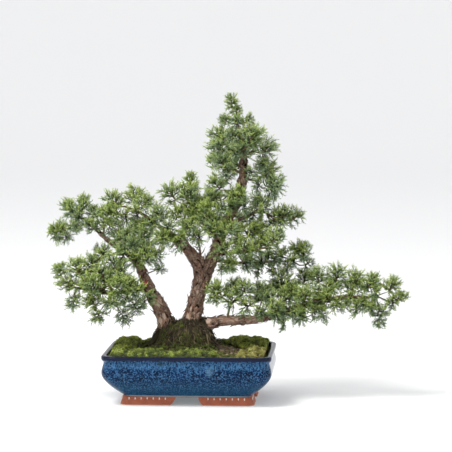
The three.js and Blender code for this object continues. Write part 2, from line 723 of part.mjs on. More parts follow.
const rootStock = [...Object.values(TRUNKS), ...SURFACE_ROOTS];
const woodLimbs = [...rootStock, ...Object.values(LIMBS), ...STUBS];

function makeWood() {
  return meshOf("wood", join(woodLimbs.map(limbSolid)), BARK);
}

function makeSoil() {
  let soil = soilSolid(0).subtract(join(rootStock.map(holeSolid)));
  for (const side of [-1, 1]) {
    const pocketSide = SCREEN_SIDE + 2 * GAP;
    const pocket = new THREE.BoxGeometry(pocketSide, pocketSide, 2 * (SCREEN_THICKNESS + 2 * GAP));
    pocket.translate(side * DRAIN_X, 0, FLOOR_TOP);
    soil = soil.subtract(solidOfGeometry(pocket));
  }
  return meshOf("soil", largestBody(soil), SOIL);
}

// Straight tapered rods that stand for what a shoot must keep clear of
const ROD_LENGTH = 6;
const rods = [];

for (const { at, across } of woodLimbs) {
  const curve = centreLine(at);
  const steps = Math.max(1, Math.round(curve.getLength() / ROD_LENGTH));
  for (let step = 0; step < steps; step += 1) {
    const [start, end] = [step / steps, (step + 1) / steps];
    const radii = [start, end].map((share) => (diameterAt(curve, across, share) / 2) * (1 + RIDGES / 2));
    const [from, to] = [curve.getPointAt(start), curve.getPointAt(end)];
    rods.push({ from, to, radiusFrom: radii[0], radiusTo: radii[1], owner: "wood" });
  }
}

// How clear two rods are of each other, from the nearest points of their centre lines
function clearance(one, other) {
  const u = one.to.clone().sub(one.from);
  const v = other.to.clone().sub(other.from);
  const w = one.from.clone().sub(other.from);
  const a = u.dot(u) + 1e-9;
  const b = u.dot(v);
  const c = v.dot(v);
  const d = u.dot(w);
  const e = v.dot(w);
  const within = (value) => Math.min(1, Math.max(0, value));
  const slant = a * c - b * b;
  const first = slant > 1e-9 ? within((b * e - c * d) / slant) : 0;
  const t = within((b * first + e) / c);
  const s = within((b * t - d) / a);
  const apart = w.addScaledVector(u, s).addScaledVector(v, -t).length();
  const radiusOne = THREE.MathUtils.lerp(one.radiusFrom, one.radiusTo, s);
  const radiusOther = THREE.MathUtils.lerp(other.radiusFrom, other.radiusTo, t);
  return apart - radiusOne - radiusOther;
}

// A spray's stem starts where it is clear of the wood, and its tufts stand on twigs from its end
const STEM_TEST_STEP = 0.5;
function laySpray([name, { stem, tufts }]) {
  const curve = centreLine(stem);
  const [thick, thin] = STEM_DIAMETERS;
  const length = curve.getLength();
  let start = 0;
  const touches = (share) => {
    const ends = [share, share + 0.05].map((place) => curve.getPointAt(place));
    const [ring] = rodRings(ends, [thick, thick], STEM_SIDES);
    const corners = ring.map((point) => ({ from: point, to: point, radiusFrom: 0, radiusTo: 0 }));
    return corners.some((corner) => rods.some((rod) => rod.owner === "wood" && clearance(corner, rod) < GAP));
  };
  while (start < 0.9 && touches(start)) start += STEM_TEST_STEP / length;
  const points = [0, 0.5, 1].map((share) => curve.getPointAt(THREE.MathUtils.lerp(start, 1, share)));
  const end = points[2];
  rods.push({ from: points[0], to: end, radiusFrom: thick / 2, radiusTo: thin / 2, owner: name });
  const laid = tufts.map(([x, y, z, size, habit]) => {
    const reach = size * FULLNESS;
    const scale = reach / TUFT_REACH;
    const centre = new THREE.Vector3(x, y, z);
    const axis = centre.clone().sub(end).normalize();
    axis.addScaledVector(UP, habit === "droop" ? TURN_DOWN : TURN_UP).normalize();
    const foot = centre.clone().addScaledVector(axis, -CORE_CENTRE * CORE_LENGTH * scale);
    const head = foot.clone().addScaledVector(axis, CORE_LENGTH * scale);
    const bend = foot.clone().addScaledVector(axis, -0.35 * foot.distanceTo(end));
    bend.lerp(end.clone().lerp(foot, 0.6), 0.5);
    const twigRadius = TWIG_DIAMETER / 2;
    const room = CORE_ROOM * scale;
    rods.push({ from: foot, to: head, radiusFrom: room, radiusTo: room, owner: name });
    rods.push({ from: end, to: bend, radiusFrom: twigRadius, radiusTo: twigRadius, owner: name });
    rods.push({ from: bend, to: foot, radiusFrom: twigRadius, radiusTo: twigRadius, owner: name });
    const leader = centre.clone().addScaledVector(axis, reach);
    const leaderRadius = SHOOT_BASE_RADIUS * scale;
    rods.push({ from: head, to: leader, radiusFrom: leaderRadius, radiusTo: SHOOT_TIP_RADIUS, owner: name });
    const bends = foot.distanceTo(end) > SHORT_TWIG ? [bend] : [];
    return { foot, leader, axis, bends, scale, reach, habit };
  });
  return { name, points, laid };
}

// The tip of one shoot from a face of the core, bent until it is clear of its neighbours
function growShoot(root, outward, share, tuft, owner, family) {
  const lean = THREE.MathUtils.lerp(...SHOOT_LEAN, share);
  const drooping = tuft.habit === "droop";
  for (let attempt = 0; attempt < SHOOT_TRIES; attempt += 1) {
    const jitter = SHOOT_JITTER * (1 + attempt * 0.4);
    const way = outward.clone().addScaledVector(tuft.axis, lean).normalize();
    way.add(new THREE.Vector3(spread(jitter), spread(jitter), spread(jitter)));
    way.addScaledVector(UP, drooping ? 0 : SHOOT_LIFT).normalize();
    const downward = way.z < DOWNWARD && !drooping ? DOWNWARD_SHARE : 1;
    const crowded = attempt < CROWDED_TRIES ? 1 : CROWDED_SHARE;
    const fullLength = tuft.reach - SHOOT_START * tuft.scale;
    const length = fullLength * (1 + spread(LENGTH_SPREAD)) * downward * crowded;
    const tip = root.clone().addScaledVector(way, length);
    const radius = SHOOT_BASE_RADIUS * tuft.scale;
    const whole = { from: root, to: tip, radiusFrom: radius, radiusTo: SHOOT_TIP_RADIUS };
    const from = root.clone().addScaledVector(way, 0.3 * length);
    const outer = { ...whole, from, radiusFrom: 0.7 * radius, owner, family };
    const clear = rods.every((rod) => {
      if (rod.owner !== owner) return clearance(whole, rod) > SHOOT_CLEARANCE;
      return clearance(outer, rod) > (rod.family === family ? FAMILY_CLEARANCE : SHOOT_CLEARANCE);
    });
    if (clear && tip.z > SOIL_EDGE_Z + ABOVE_SOIL) {
      rods.push(outer);
      return tip;
    }
  }
  return null;
}

// A tuft with its twig, in one skin: three-sided along the twig, six-sided round the core
function tuftSolid(tuft, twigPoints, twigDiameters, owner, family) {
  const { foot, leader, axis, scale, habit } = tuft;
  const aside = (Math.abs(axis.z) < 0.9 ? UP.clone() : new THREE.Vector3(1, 0, 0)).cross(axis).normalize();
  const over = axis.clone().cross(aside);
  const twig = rodRings([...twigPoints, foot], twigDiameters, STEM_SIDES);
  const core = CORE.map(([share, radius], level) => {
    const middle = foot.clone().addScaledVector(axis, share * CORE_LENGTH * scale);
    return Array.from({ length: CORE_SIDES }, (_, side) => {
      const angle = ((side + level / 2) / CORE_SIDES) * Math.PI * 2;
      const point = middle.clone().addScaledVector(aside, Math.cos(angle) * radius * scale);
      return point.addScaledVector(over, Math.sin(angle) * radius * scale);
    });
  });
  const rings = [...twig, ...core, [leader]];
  const points = rings.flat();
  const level = rings.flatMap((ring, index) => ring.map(() => index));
  const faces = [];
  for (const [a, b, c] of loftTriangles(rings)) {
    const levels = [level[a], level[b], level[c]];
    const lowest = Math.min(...levels);
    const hangsByOne = levels.filter((value) => value === lowest).length === 1;
    const onCore = Math.max(...levels) >= twig.length && Math.max(...levels) < rings.length - 1;
    const grows = onCore && hangsByOne && (habit !== "thin" || random() < THIN_SHARE);
    const root = points[a].clone().add(points[b]).add(points[c]).divideScalar(3);
    const height = root.clone().sub(foot).dot(axis);
    const outward = root.clone().sub(foot).addScaledVector(axis, -height).normalize();
    const share = height / (CORE_LENGTH * scale);
    const tip = grows ? growShoot(root, outward, share, tuft, owner, family) : null;
    if (tip) {
      points.push(tip);
      const apex = points.length - 1;
      faces.push([a, b, apex], [b, c, apex], [c, a, apex]);
    } else {
      faces.push([a, b, c]);
    }
  }
  return solidOf(points, faces);
}

// The first tuft's twig is the stem drawn on; the others leave the stem just before its end
function makeSpray({ name, points, laid }) {
  const [thick, thin] = STEM_DIAMETERS;
  const [first, ...others] = laid;
  const widths = (bends, ends) => [...ends, ...bends.map(() => TWIG_DIAMETER), TWIG_DIAMETER];
  const stemWidths = widths(first.bends, [thick, (thick + thin) / 2, thin]);
  const main = tuftSolid(first, [...points, ...first.bends], stemWidths, name, 0);
  const fork = points[2].clone().lerp(points[1], FORK_BACK / points[2].distanceTo(points[1]));
  const forks = others.map((tuft, index) => {
    return tuftSolid(tuft, [fork, ...tuft.bends], widths(tuft.bends, [TWIG_DIAMETER]), name, index + 1);
  });
  return meshOf(name, largestBody(join([main, ...forks])), FOLIAGE);
}

const tree = new THREE.Group();
tree.add(makePot());
tree.add(makeScreen("drain_screen_left", -DRAIN_X));
tree.add(makeScreen("drain_screen_right", DRAIN_X));
tree.add(makeSoil());
tree.add(makeWood());
for (const [name, cushion] of Object.entries(MOSS)) tree.add(makeMoss(name, cushion));
for (const spray of Object.entries(SPRAYS).map(laySpray)) tree.add(makeSpray(spray));

// The middle of the whole box goes over the origin, to the millimetre, on the plane that the feet
// stand on
const middle = new THREE.Box3().setFromObject(tree, true).getCenter(new THREE.Vector3());
tree.position.set(-Math.round(middle.x), -Math.round(middle.y), 0);
const bonsai = new THREE.Group();
bonsai.add(tree);

export default bonsai;
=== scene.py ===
import math
import random
from contextlib import contextmanager

import bmesh
import bpy
import numpy as np
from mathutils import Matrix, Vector, kdtree, noise
from mathutils.bvhtree import BVHTree


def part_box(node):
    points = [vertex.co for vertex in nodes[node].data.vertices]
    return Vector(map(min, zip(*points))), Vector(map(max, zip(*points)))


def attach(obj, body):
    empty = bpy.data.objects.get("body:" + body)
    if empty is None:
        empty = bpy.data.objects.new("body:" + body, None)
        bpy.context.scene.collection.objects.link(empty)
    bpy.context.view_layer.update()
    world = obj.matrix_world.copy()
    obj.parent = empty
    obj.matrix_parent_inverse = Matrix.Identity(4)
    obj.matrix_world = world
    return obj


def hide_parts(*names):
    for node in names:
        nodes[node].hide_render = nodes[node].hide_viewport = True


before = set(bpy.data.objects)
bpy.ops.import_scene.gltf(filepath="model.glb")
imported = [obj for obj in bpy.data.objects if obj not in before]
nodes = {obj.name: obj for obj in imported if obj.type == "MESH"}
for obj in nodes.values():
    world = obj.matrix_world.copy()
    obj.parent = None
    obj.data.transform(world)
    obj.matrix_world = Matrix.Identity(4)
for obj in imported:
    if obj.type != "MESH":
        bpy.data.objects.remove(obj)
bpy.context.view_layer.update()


# Photographer's table: a round sheet of pale, evenly lit paper that curves up far behind the tree on
# every side, a broad soft light over the front, weaker ones at both sides, and a long lens.
PAPER_RADIUS = 4.6
PAPER_SIDES = 96
PAPER_BEND = 2.4
PAPER_HEIGHT = 5.5
BEND_STEPS = 16
PAPER_COLOUR = (0.82, 0.82, 0.82, 1)
PAPER_GLOW = 0.14
CAMERA_TARGET = Vector((-0.00235, 0, 0.2264))
CAMERA_DISTANCE = 3.0
CAMERA_AZIMUTH = math.radians(3.84)
CAMERA_ELEVATION = math.radians(4.95)
LENS_MM = 183.85
SENSOR_MM = 36
SKY_COLOUR = (0.97, 0.98, 1.0, 1)
SKY_STRENGTH = 0.84
# Each soft box as [place, size, watts, colour]
SOFT_BOXES = {
    "light_overhead": ((-1.1, -1.1, 2.3), 1.0, 62, (1.0, 0.985, 0.96)),
    "light_left": ((-2.2, -0.9, 0.9), 1.4, 6, (0.96, 0.98, 1.0)),
    "light_right": ((2.2, -0.3, 1.1), 1.4, 3, (0.97, 0.98, 1.0)),
}


def only(piece):
    """Leaves one object selected and active."""
    bpy.ops.object.select_all(action="DESELECT")
    piece.select_set(True)
    bpy.context.view_layer.objects.active = piece


@contextmanager
def editing(piece):
    """Edit mode on one piece, with all of it selected at the start."""
    only(piece)
    bpy.ops.object.mode_set(mode="EDIT")
    bpy.ops.mesh.select_all(action="SELECT")
    yield
    bpy.ops.object.mode_set(mode="OBJECT")


def settle(piece, name):
    """Names a finished piece and puts its place into its mesh."""
    only(piece)
    bpy.ops.object.transform_apply(location=True, rotation=True, scale=True)
    piece.name = name
    piece.data.name = name
    return piece


def new_material(name, constants):
    """A material whose shader has these values all over."""
    material = bpy.data.materials.new(name)
    material.use_nodes = True
    inputs = material.node_tree.nodes["Principled BSDF"].inputs
    for key, value in constants.items():
        inputs[key].default_value = value
    return material


def aim(thing):
    """Turns a light or camera at the tree."""
    thing.rotation_euler = (CAMERA_TARGET - thing.location).to_track_quat("-Z", "Y").to_euler()


bpy.ops.mesh.primitive_circle_add(vertices=PAPER_SIDES, radius=PAPER_RADIUS, fill_type="NGON")
paper = settle(bpy.context.object, "paper")
turns = [step / BEND_STEPS * math.pi / 2 for step in range(1, BEND_STEPS + 1)]
rims = [(PAPER_RADIUS + PAPER_BEND * math.sin(turn), PAPER_BEND * (1 - math.cos(turn))) for turn in turns]
radius, level = PAPER_RADIUS, 0
with editing(paper):
    bpy.ops.mesh.select_mode(type="EDGE")
    for reach, height in rims + [(PAPER_RADIUS + PAPER_BEND, PAPER_HEIGHT)]:
        bpy.ops.mesh.extrude_edges_move(TRANSFORM_OT_translate={"value": (0, 0, height - level)})
        bpy.ops.transform.resize(value=(reach / radius, reach / radius, 1), center_override=(0, 0, height))
        radius, level = reach, height
bpy.ops.object.shade_smooth()
paper.data.materials.append(new_material("pale_paper", {
    "Base Color": PAPER_COLOUR, "Roughness": 0.9, "Specular IOR Level": 0.1,
    "Emission Color": (1, 1, 1, 1), "Emission Strength": PAPER_GLOW,
}))

for name, (place, size, watts, colour) in SOFT_BOXES.items():
    bpy.ops.object.light_add(type="AREA", location=place)
    light = bpy.context.object
    light.name = name
    light.data.size = size
    light.data.energy = watts
    light.data.color = colour
    aim(light)

world = bpy.data.worlds.new("studio_air")
bpy.context.scene.world = world
world.use_nodes = True
sky = world.node_tree.nodes["Background"]
sky.inputs["Color"].default_value = SKY_COLOUR
sky.inputs["Strength"].default_value = SKY_STRENGTH

sight = Vector((
    math.sin(CAMERA_AZIMUTH) * math.cos(CAMERA_ELEVATION),
    -math.cos(CAMERA_AZIMUTH) * math.cos(CAMERA_ELEVATION),
    math.sin(CAMERA_ELEVATION),
))
bpy.ops.object.camera_add(location=CAMERA_TARGET + sight * CAMERA_DISTANCE)
camera = bpy.context.object
camera.data.lens = LENS_MM
camera.data.sensor_width = SENSOR_MM
aim(camera)
bpy.context.scene.camera = camera
bpy.context.scene.view_settings.view_transform = "Standard"


# Pot bowl: stoneware, pressed in a mould, its sides swelling out to a shoulder and drawn in to a neck
# under a rolled lip. Glazed outside and over the lip in mottled cobalt, which is nearly black on the
# lip, hangs in lighter streaks below it and turns teal towards the feet.
POT_LOW, POT_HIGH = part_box("pot")
POT_MIDDLE = (POT_LOW + POT_HIGH) / 2
POT_HALF = (POT_HIGH - POT_LOW) / 2
POT_CORNER = 0.0135
POT_CORNER_STEPS = 7
# The bowl's section as [height, how far inside the pot's widest outline], from its foot up over the
# lip and down to the floor inside
BOWL_PROFILE = [
    (0.009, 0.0294), (0.0098, 0.0287), (0.0125, 0.0258), (0.018, 0.0186), (0.024, 0.0118),
    (0.030, 0.0061), (0.036, 0.0019), (0.0405, 0.0004), (0.045, 0.0004), (0.050, 0.0016),
    (0.0535, 0.0027), (0.0555, 0.0031), (0.0572, 0.0027), (0.0586, 0.0012), (0.0602, 0.0003),
    (0.0625, 0.0), (0.0642, 0.0005), (0.0652, 0.0016), (0.0655, 0.0032), (0.0652, 0.0056),
    (0.0642, 0.0070), (0.061, 0.0080), (0.055, 0.0081), (0.046, 0.0085), (0.038, 0.011),
    (0.028, 0.018), (0.019, 0.028), (0.016, 0.033), (0.015, 0.040),
]
DRAIN_PLACE = (0.042, 0.012)
DRAIN_RADIUS = 0.008
DRAIN_DEPTH = 0.02
DRAIN_SIDES = 36
SHARP_EDGE = math.radians(40)
GLAZE_NAVY = (0.002, 0.006, 0.022, 1)
GLAZE_COBALT = (0.002, 0.016, 0.060, 1)
GLAZE_SKY = (0.058, 0.172, 0.340, 1)
GLAZE_TEAL = (0.002, 0.045, 0.100, 1)
GLAZE_EDGE = (0.010, 0.013, 0.032, 1)
GLAZE_HEM = (0.33, 0.42, 0.46, 1)
# Heights between which the glaze changes
TEAL_FROM = (0.042, 0.012)
STREAKS_FROM = (0.0475, 0.0520)
STREAKS_TO = (0.0612, 0.0585)
LIP_FROM = (0.0592, 0.0622)
HEM_FROM = (0.0132, 0.0112)
RUN_STRETCH = (1, 1, 0.22)
# Where the glaze has run together in one colour, as [middle, reach, colour]
GLAZE_DROPS = [
    ((-0.069, -0.0735, 0.0345), 0.0050, (0.004, 0.090, 0.480, 1)),
    ((-0.080, -0.0780, 0.0580), 0.0085, (0.010, 0.030, 0.022, 1)),
    ((-0.018, -0.0770, 0.0460), 0.0100, (0.160, 0.300, 0.420, 1)),
]


def pot_rings(profile):
    """Turns [height, inset] points into rings of [height, half width, half depth]."""
    return [(height, POT_HALF.x - inset, POT_HALF.y - inset) for height, inset in profile]


def raised_form(rings, corner=0, steps=0, wall=0):
    """A closed form drawn up from a flat sheet through rings, its corners rounded, or a walled ring."""
    height, wide, deep = rings[0]
    bpy.ops.mesh.primitive_plane_add(size=2, location=(POT_MIDDLE.x, POT_MIDDLE.y, height))
    form = bpy.context.object
    form.scale = (wide, deep, 1)
    settle(form, "form")
    with editing(form):
        if corner:
            bpy.ops.mesh.bevel(offset=corner, segments=steps, affect="VERTICES")
            bpy.ops.mesh.select_all(action="SELECT")
        if wall:
            bpy.ops.mesh.inset(thickness=wall)
            bpy.ops.mesh.delete(type="FACE")
            bpy.ops.mesh.select_all(action="SELECT")
        for level, wider, deeper in rings[1:]:
            bpy.ops.mesh.extrude_region_move(TRANSFORM_OT_translate={"value": (0, 0, level - height)})
            bpy.ops.transform.resize(value=(wider / wide, deeper / deep, 1), center_override=POT_MIDDLE)
            height, wide, deep = level, wider, deeper
        bpy.ops.mesh.select_all(action="SELECT")
        bpy.ops.mesh.normals_make_consistent(inside=False)
    return form


def apply_modifier(piece, name, kind, **settings):
    """Adds one modifier with its settings and applies it at once."""
    only(piece)
    modifier = piece.modifiers.new(name, kind)
    for key, value in settings.items():
        setattr(modifier, key, value)
    bpy.ops.object.modifier_apply(modifier=modifier.name)


def cut_away(piece, cutter):
    """Cuts a closed shape out of a piece and removes the cutter."""
    apply_modifier(piece, "cut", "BOOLEAN", operation="DIFFERENCE", solver="EXACT", object=cutter)
    bpy.data.objects.remove(cutter)


def add_node(tree, kind, inputs=None, **settings):
    """Adds a shader node; an input is given as a number, a colour or another node's output."""
    made = tree.nodes.new("ShaderNode" + kind)
    for key, value in settings.items():
        setattr(made, key, value)
    for key, value in (inputs or {}).items():
        if isinstance(value, bpy.types.NodeSocket):
            tree.links.new(value, made.inputs[key])
        else:
            made.inputs[key].default_value = value
    return made


def object_place(tree):
    """The place on the piece, in metres."""
    return add_node(tree, "TexCoord").outputs["Object"]


def height_of(tree, place):
    """The height of a place."""
    return add_node(tree, "SeparateXYZ", {"Vector": place}).outputs["Z"]


def blend(tree, factor, first, second, mode="MIX"):
    """Mixes two colours by a factor."""
    inputs = {0: factor, 6: first, 7: second}
    return add_node(tree, "Mix", inputs, data_type="RGBA", blend_type=mode).outputs[2]


def fade(tree, value, low, high):
    """Rises smoothly from 0 to 1 while a value goes from low to high."""
    inputs = {"Value": value, "From Min": low, "From Max": high}
    return add_node(tree, "MapRange", inputs, interpolation_type="SMOOTHSTEP").outputs["Result"]


def ranged(tree, value, low, high):
    """Goes from low to high while a value goes from 0 to 1."""
    return add_node(tree, "MapRange", {"Value": value, "To Min": low, "To Max": high}).outputs["Result"]


def times(tree, first, second):
    """The product of two values."""
    return add_node(tree, "Math", {0: first, 1: second}, operation="MULTIPLY").outputs["Value"]


def noise_in(tree, vector, scale, detail, roughness=0.5):
    """Noise of so many lumps a metre."""
    inputs = {"Vector": vector, "Scale": scale, "Detail": detail, "Roughness": roughness}
    return add_node(tree, "TexNoise", inputs).outputs["Fac"]


def make_speckle_group():
    """Soft blotches with fine sharp speckles in them, as in glaze, clay, bark and soil."""
    group = bpy.data.node_groups.new("speckle", "ShaderNodeTree")
    for name, way, kind in (
        ("Vector", "INPUT", "Vector"), ("Blotches per metre", "INPUT", "Float"),
        ("Speckles per metre", "INPUT", "Float"), ("Blotch", "OUTPUT", "Float"),
        ("Speckle", "OUTPUT", "Float"),
    ):
        group.interface.new_socket(name, in_out=way, socket_type="NodeSocket" + kind)
    given = group.nodes.new("NodeGroupInput").outputs
    result = group.nodes.new("NodeGroupOutput").inputs
    blotch = noise_in(group, given["Vector"], given["Blotches per metre"], 4)
    grain = noise_in(group, given["Vector"], given["Speckles per metre"], 3, 0.65)
    group.links.new(fade(group, blotch, 0.3, 0.7), result["Blotch"])
    group.links.new(fade(group, grain, 0.43, 0.60), result["Speckle"])
    return group


SPECKLE = make_speckle_group()


def speckles(tree, vector, blotches, grains):
    """Places the speckle group with its own scales and gives its two outputs."""
    inputs = {"Vector": vector, "Blotches per metre": blotches, "Speckles per metre": grains}
    return add_node(tree, "Group", inputs, node_tree=SPECKLE).outputs.values()


def painted(material, colour, bump=None):
    """Gives a material its colour, and its bump as [height, strength, depth]."""
    tree = material.node_tree
    inputs = tree.nodes["Principled BSDF"].inputs
    tree.links.new(colour, inputs["Base Color"])
    if bump:
        height, strength, depth = bump
        made = add_node(tree, "Bump", {"Height": height, "Strength": strength, "Distance": depth})
        tree.links.new(made.outputs["Normal"], inputs["Normal"])
    return material


def make_glaze():
    """Running cobalt glaze: mottled, streaked downwards, darkest on the lip."""
    material = new_material("cobalt_glaze", {
        "Roughness": 0.12, "Specular IOR Level": 0.05, "Coat Weight": 0.07, "Coat Roughness": 0.04,
    })
    tree = material.node_tree
    place = object_place(tree)
    height = height_of(tree, place)
    stretched = add_node(tree, "Mapping", {"Vector": place, "Scale": RUN_STRETCH}).outputs["Vector"]
    blotch, speckle = speckles(tree, place, 60, 540)
    run, drips = speckles(tree, stretched, 330, 620)
    cobalt = blend(tree, blotch, GLAZE_NAVY, GLAZE_COBALT)
    low_teal = fade(tree, height, *TEAL_FROM)
    body = blend(tree, low_teal, cobalt, GLAZE_TEAL)
    amount = ranged(tree, run, 0.40, 0.80)
    thinned = times(tree, amount, ranged(tree, low_teal, 1.0, 0.6))
    flecks = times(tree, fade(tree, speckle, 0.35, 0.95), thinned)
    flecked = blend(tree, flecks, body, GLAZE_SKY)
    under_lip = times(tree, fade(tree, height, *STREAKS_FROM), fade(tree, height, *STREAKS_TO))
    pooled = times(tree, under_lip, ranged(tree, drips, 0.0, 0.65))
    glaze = blend(tree, pooled, flecked, GLAZE_SKY)
    for middle, reach, colour in GLAZE_DROPS:
        apart = add_node(tree, "VectorMath", {0: place, 1: middle}, operation="DISTANCE")
        drop = times(tree, fade(tree, apart.outputs["Value"], reach, reach * 0.5), amount)
        glaze = blend(tree, drop, glaze, colour)
    lip = blend(tree, fade(tree, height, *LIP_FROM), glaze, GLAZE_EDGE)
    hem = blend(tree, fade(tree, height, *HEM_FROM), lip, GLAZE_HEM)
    return painted(material, hem, (noise_in(tree, stretched, 130, 2), 0.25, 0.0006))


bowl = raised_form(pot_rings(BOWL_PROFILE), POT_CORNER, POT_CORNER_STEPS)
apply_modifier(bowl, "smooth", "SUBSURF", levels=2, render_levels=2)
for side in (-1, 1):
    place = (POT_MIDDLE.x + side * DRAIN_PLACE[0], POT_MIDDLE.y, DRAIN_PLACE[1])
    bpy.ops.mesh.primitive_cylinder_add(
        vertices=DRAIN_SIDES, radius=DRAIN_RADIUS, depth=DRAIN_DEPTH, location=place
    )
    cut_away(bowl, settle(bpy.context.object, "drain_punch"))
settle(bowl, "pot_bowl")
bpy.ops.object.shade_smooth_by_angle(angle=SHARP_EDGE)
bowl.data.materials.clear()
bowl.data.materials.append(make_glaze())
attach(bowl, "root")
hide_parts("pot")


# Pot feet: the foot ring under the bowl, bare red stoneware in one piece with it, cut through by an
# arch in the middle of each side, with beads of glaze caught along the joint above it, painted pale as
# glints.
FOOT_INSET = 0.02325
FOOT_TOP_INSET = 0.0270
FOOT_TOP = 0.0108
FOOT_WALL = 0.012
FOOT_CORNER = 0.012
FOOT_CORNER_STEPS = 6
FOOT_ROUNDING = 0.0006
ARCH_BELOW = -0.002
ARCH_TOP = 0.0102
# An arch's half width at its bottom and at its top
LONG_ARCH = (0.0245, 0.0150)
SHORT_ARCH = (0.0200, 0.0120)
ARCH_STEPS = 5
# Half the length of the bars that cut the arches right through the foot ring
LONG_ARCH_REACH = 0.09
SHORT_ARCH_REACH = 0.12
BEAD_PITCH = 0.0078
BEAD_SIZE = (0.0009, 0.0006, 0.0020)
BEAD_HEIGHT = 0.0083
CLAY_RED = (0.435, 0.118, 0.056, 1)
CLAY_DARK = (0.270, 0.072, 0.038, 1)
CLAY_DUST = (0.62, 0.30, 0.20, 1)
# The beads' pale colour is a painted glint of light on the foot
BEAD_GLINT_PALE = (0.80, 0.62, 0.55, 1)


def arch_cutter(bottom_half, top_half, length, turned):
    """A long bar with the arch's section: wide below, its sides drawn in towards the top."""
    rings = []
    for step in range(ARCH_STEPS + 1):
        share = step / ARCH_STEPS
        level = ARCH_BELOW + (ARCH_TOP - ARCH_BELOW) * share
        reach = top_half + (bottom_half - top_half) * (1 - share) ** 2
        rings.append((level, length, reach) if turned else (level, reach, length))
    return raised_form(rings)


def make_clay():
    """Unglazed red stoneware: blotched, finely speckled, dusty at the bottom."""
    material = new_material("red_stoneware", {"Roughness": 0.72})
    tree = material.node_tree
    place = object_place(tree)
    height = height_of(tree, place)
    blotch, speckle = speckles(tree, place, 90, 1500)
    clay = blend(tree, speckle, blend(tree, blotch, CLAY_DARK, CLAY_RED), CLAY_RED)
    dusty = blend(tree, fade(tree, height, 0.0016, 0.0002), clay, CLAY_DUST)
    return painted(material, dusty, (speckle, 0.3, 0.0003))


def join_pieces(pieces, name):
    """Joins several objects into the first one's mesh."""
    only(pieces[0])
    for piece in pieces:
        piece.select_set(True)
    bpy.ops.object.join()
    return settle(bpy.context.object, name)


def bead_places():
    """Even places along the joint of the feet, on all four sides, clear of the arches and corners."""
    inset = FOOT_INSET + (FOOT_TOP_INSET - FOOT_INSET) * (BEAD_HEIGHT / FOOT_TOP)
    half_x = POT_HALF.x - inset
    half_y = POT_HALF.y - inset
    for along, across, arch, turned in (
        (half_x, half_y, LONG_ARCH[1], False),
        (half_y, half_x, SHORT_ARCH[1], True),
    ):
        for step in range(int((along - FOOT_CORNER - arch) / BEAD_PITCH)):
            reach = along - FOOT_CORNER * 0.8 - step * BEAD_PITCH
            for left in (-1, 1):
                for front in (-1, 1):
                    x, y = left * reach, front * across
                    yield (y, x) if turned else (x, y)


feet = raised_form(
    pot_rings([(0, FOOT_INSET), (FOOT_TOP, FOOT_TOP_INSET)]), FOOT_CORNER, FOOT_CORNER_STEPS, FOOT_WALL
)
cut_away(feet, arch_cutter(*LONG_ARCH, LONG_ARCH_REACH, False))
cut_away(feet, arch_cutter(*SHORT_ARCH, SHORT_ARCH_REACH, True))
apply_modifier(feet, "soften", "BEVEL", width=FOOT_ROUNDING, segments=2, angle_limit=SHARP_EDGE)
feet.data.materials.clear()
feet.data.materials.append(make_clay())
bpy.ops.mesh.primitive_uv_sphere_add(segments=8, ring_count=6, radius=1)
first_bead = bpy.context.object
first_bead.scale = BEAD_SIZE
settle(first_bead, "bead")
first_bead.data.materials.append(new_material("bead_painted_glint", {"Roughness": 0.25, "Base Color": BEAD_GLINT_PALE}))
beads = []
for x, y in bead_places():
    bead = first_bead.copy()
    bead.data = first_bead.data.copy()
    bead.location = (POT_MIDDLE.x + x, POT_MIDDLE.y + y, BEAD_HEIGHT)
    bpy.context.collection.objects.link(bead)
    beads.append(bead)
bpy.data.objects.remove(first_bead)
feet = join_pieces([feet] + beads, "pot_feet")
bpy.ops.object.shade_smooth_by_angle(angle=SHARP_EDGE)
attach(feet, "root")
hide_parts("pot")


# Drain screens: squares of black plastic mesh that keep the soil in over the two drain holes. They
# lie loose on the pot's floor, held by the soil, and are dusted with it.
SCREEN_CELLS = 8
SCREEN_STRAND = 0.0011
SCREEN_BLACK = (0.018, 0.019, 0.022, 1)
SCREEN_DUST = (0.06, 0.045, 0.035, 1)

screen_plastic = new_material("black_plastic_mesh", {"Roughness": 0.55})
tree = screen_plastic.node_tree
blotch, _ = speckles(tree, object_place(tree), 220, 900)
painted(screen_plastic, blend(tree, blotch, SCREEN_BLACK, SCREEN_DUST))
for side in ("left", "right"):
    low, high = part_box("drain_screen_" + side)
    bpy.ops.mesh.primitive_grid_add(
        x_subdivisions=SCREEN_CELLS, y_subdivisions=SCREEN_CELLS,
        size=high.x - low.x - SCREEN_STRAND, location=(low + high) / 2,
    )
    screen = bpy.context.object
    apply_modifier(screen, "strands", "WIREFRAME", thickness=SCREEN_STRAND)
    settle(screen, "drain_mesh_" + side)
    screen.data.materials.append(screen_plastic)
    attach(screen, "root")
    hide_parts("drain_screen_" + side)


# Wood: two trunks from one flare of roots, the long low branch and the other limbs, grown as one piece,
# with a dead twig in the fork. Its bark runs along each limb in flaky fibrous ridges, their cracks
# darkened with painted shade, with pale patches where strips have been peeled off, and is stained dark
# where it stands in the soil.
BARK_VOXEL = 0.00092
ROUNDING_PASSES = 4
# Rounding draws thin and thick limbs in by these shares of their thickness, which is given back
DRAWN_IN = (0.115, 0.075)
THICKEST = 0.03
THIN_LIMB = 0.012
GRAIN_REACH = 0.014
GRAIN_FACES = 4
STREAK_NEIGHBOURS = 18
# Plates and fibres as [length, width] of their grain, rounds of drawing out, and seed
PLATE_STREAKS = ((0.0075, 0.00075), 22, 3)
FIBRE_STREAKS = ((0.0050, 0.0006), 5, 5)
CRACK_EDGES = (0.08, 0.75)
BARK_RELIEF = 0.0034
FLAKE_COUNT = 2000
FLAKE_LENGTH = 0.0080
FLAKE_WIDTH = 0.0029
FLAKE_LIFTS = (math.radians(4), math.radians(30))
FLAKE_SIZES = (0.5, 1.25)
FLAKE_SINK = 0.0003
FLAKE_SWAY = 0.12
FLAKES_ABOVE_GIRTH = 0.55
SOIL_STAIN = (0.0950, 0.0870)
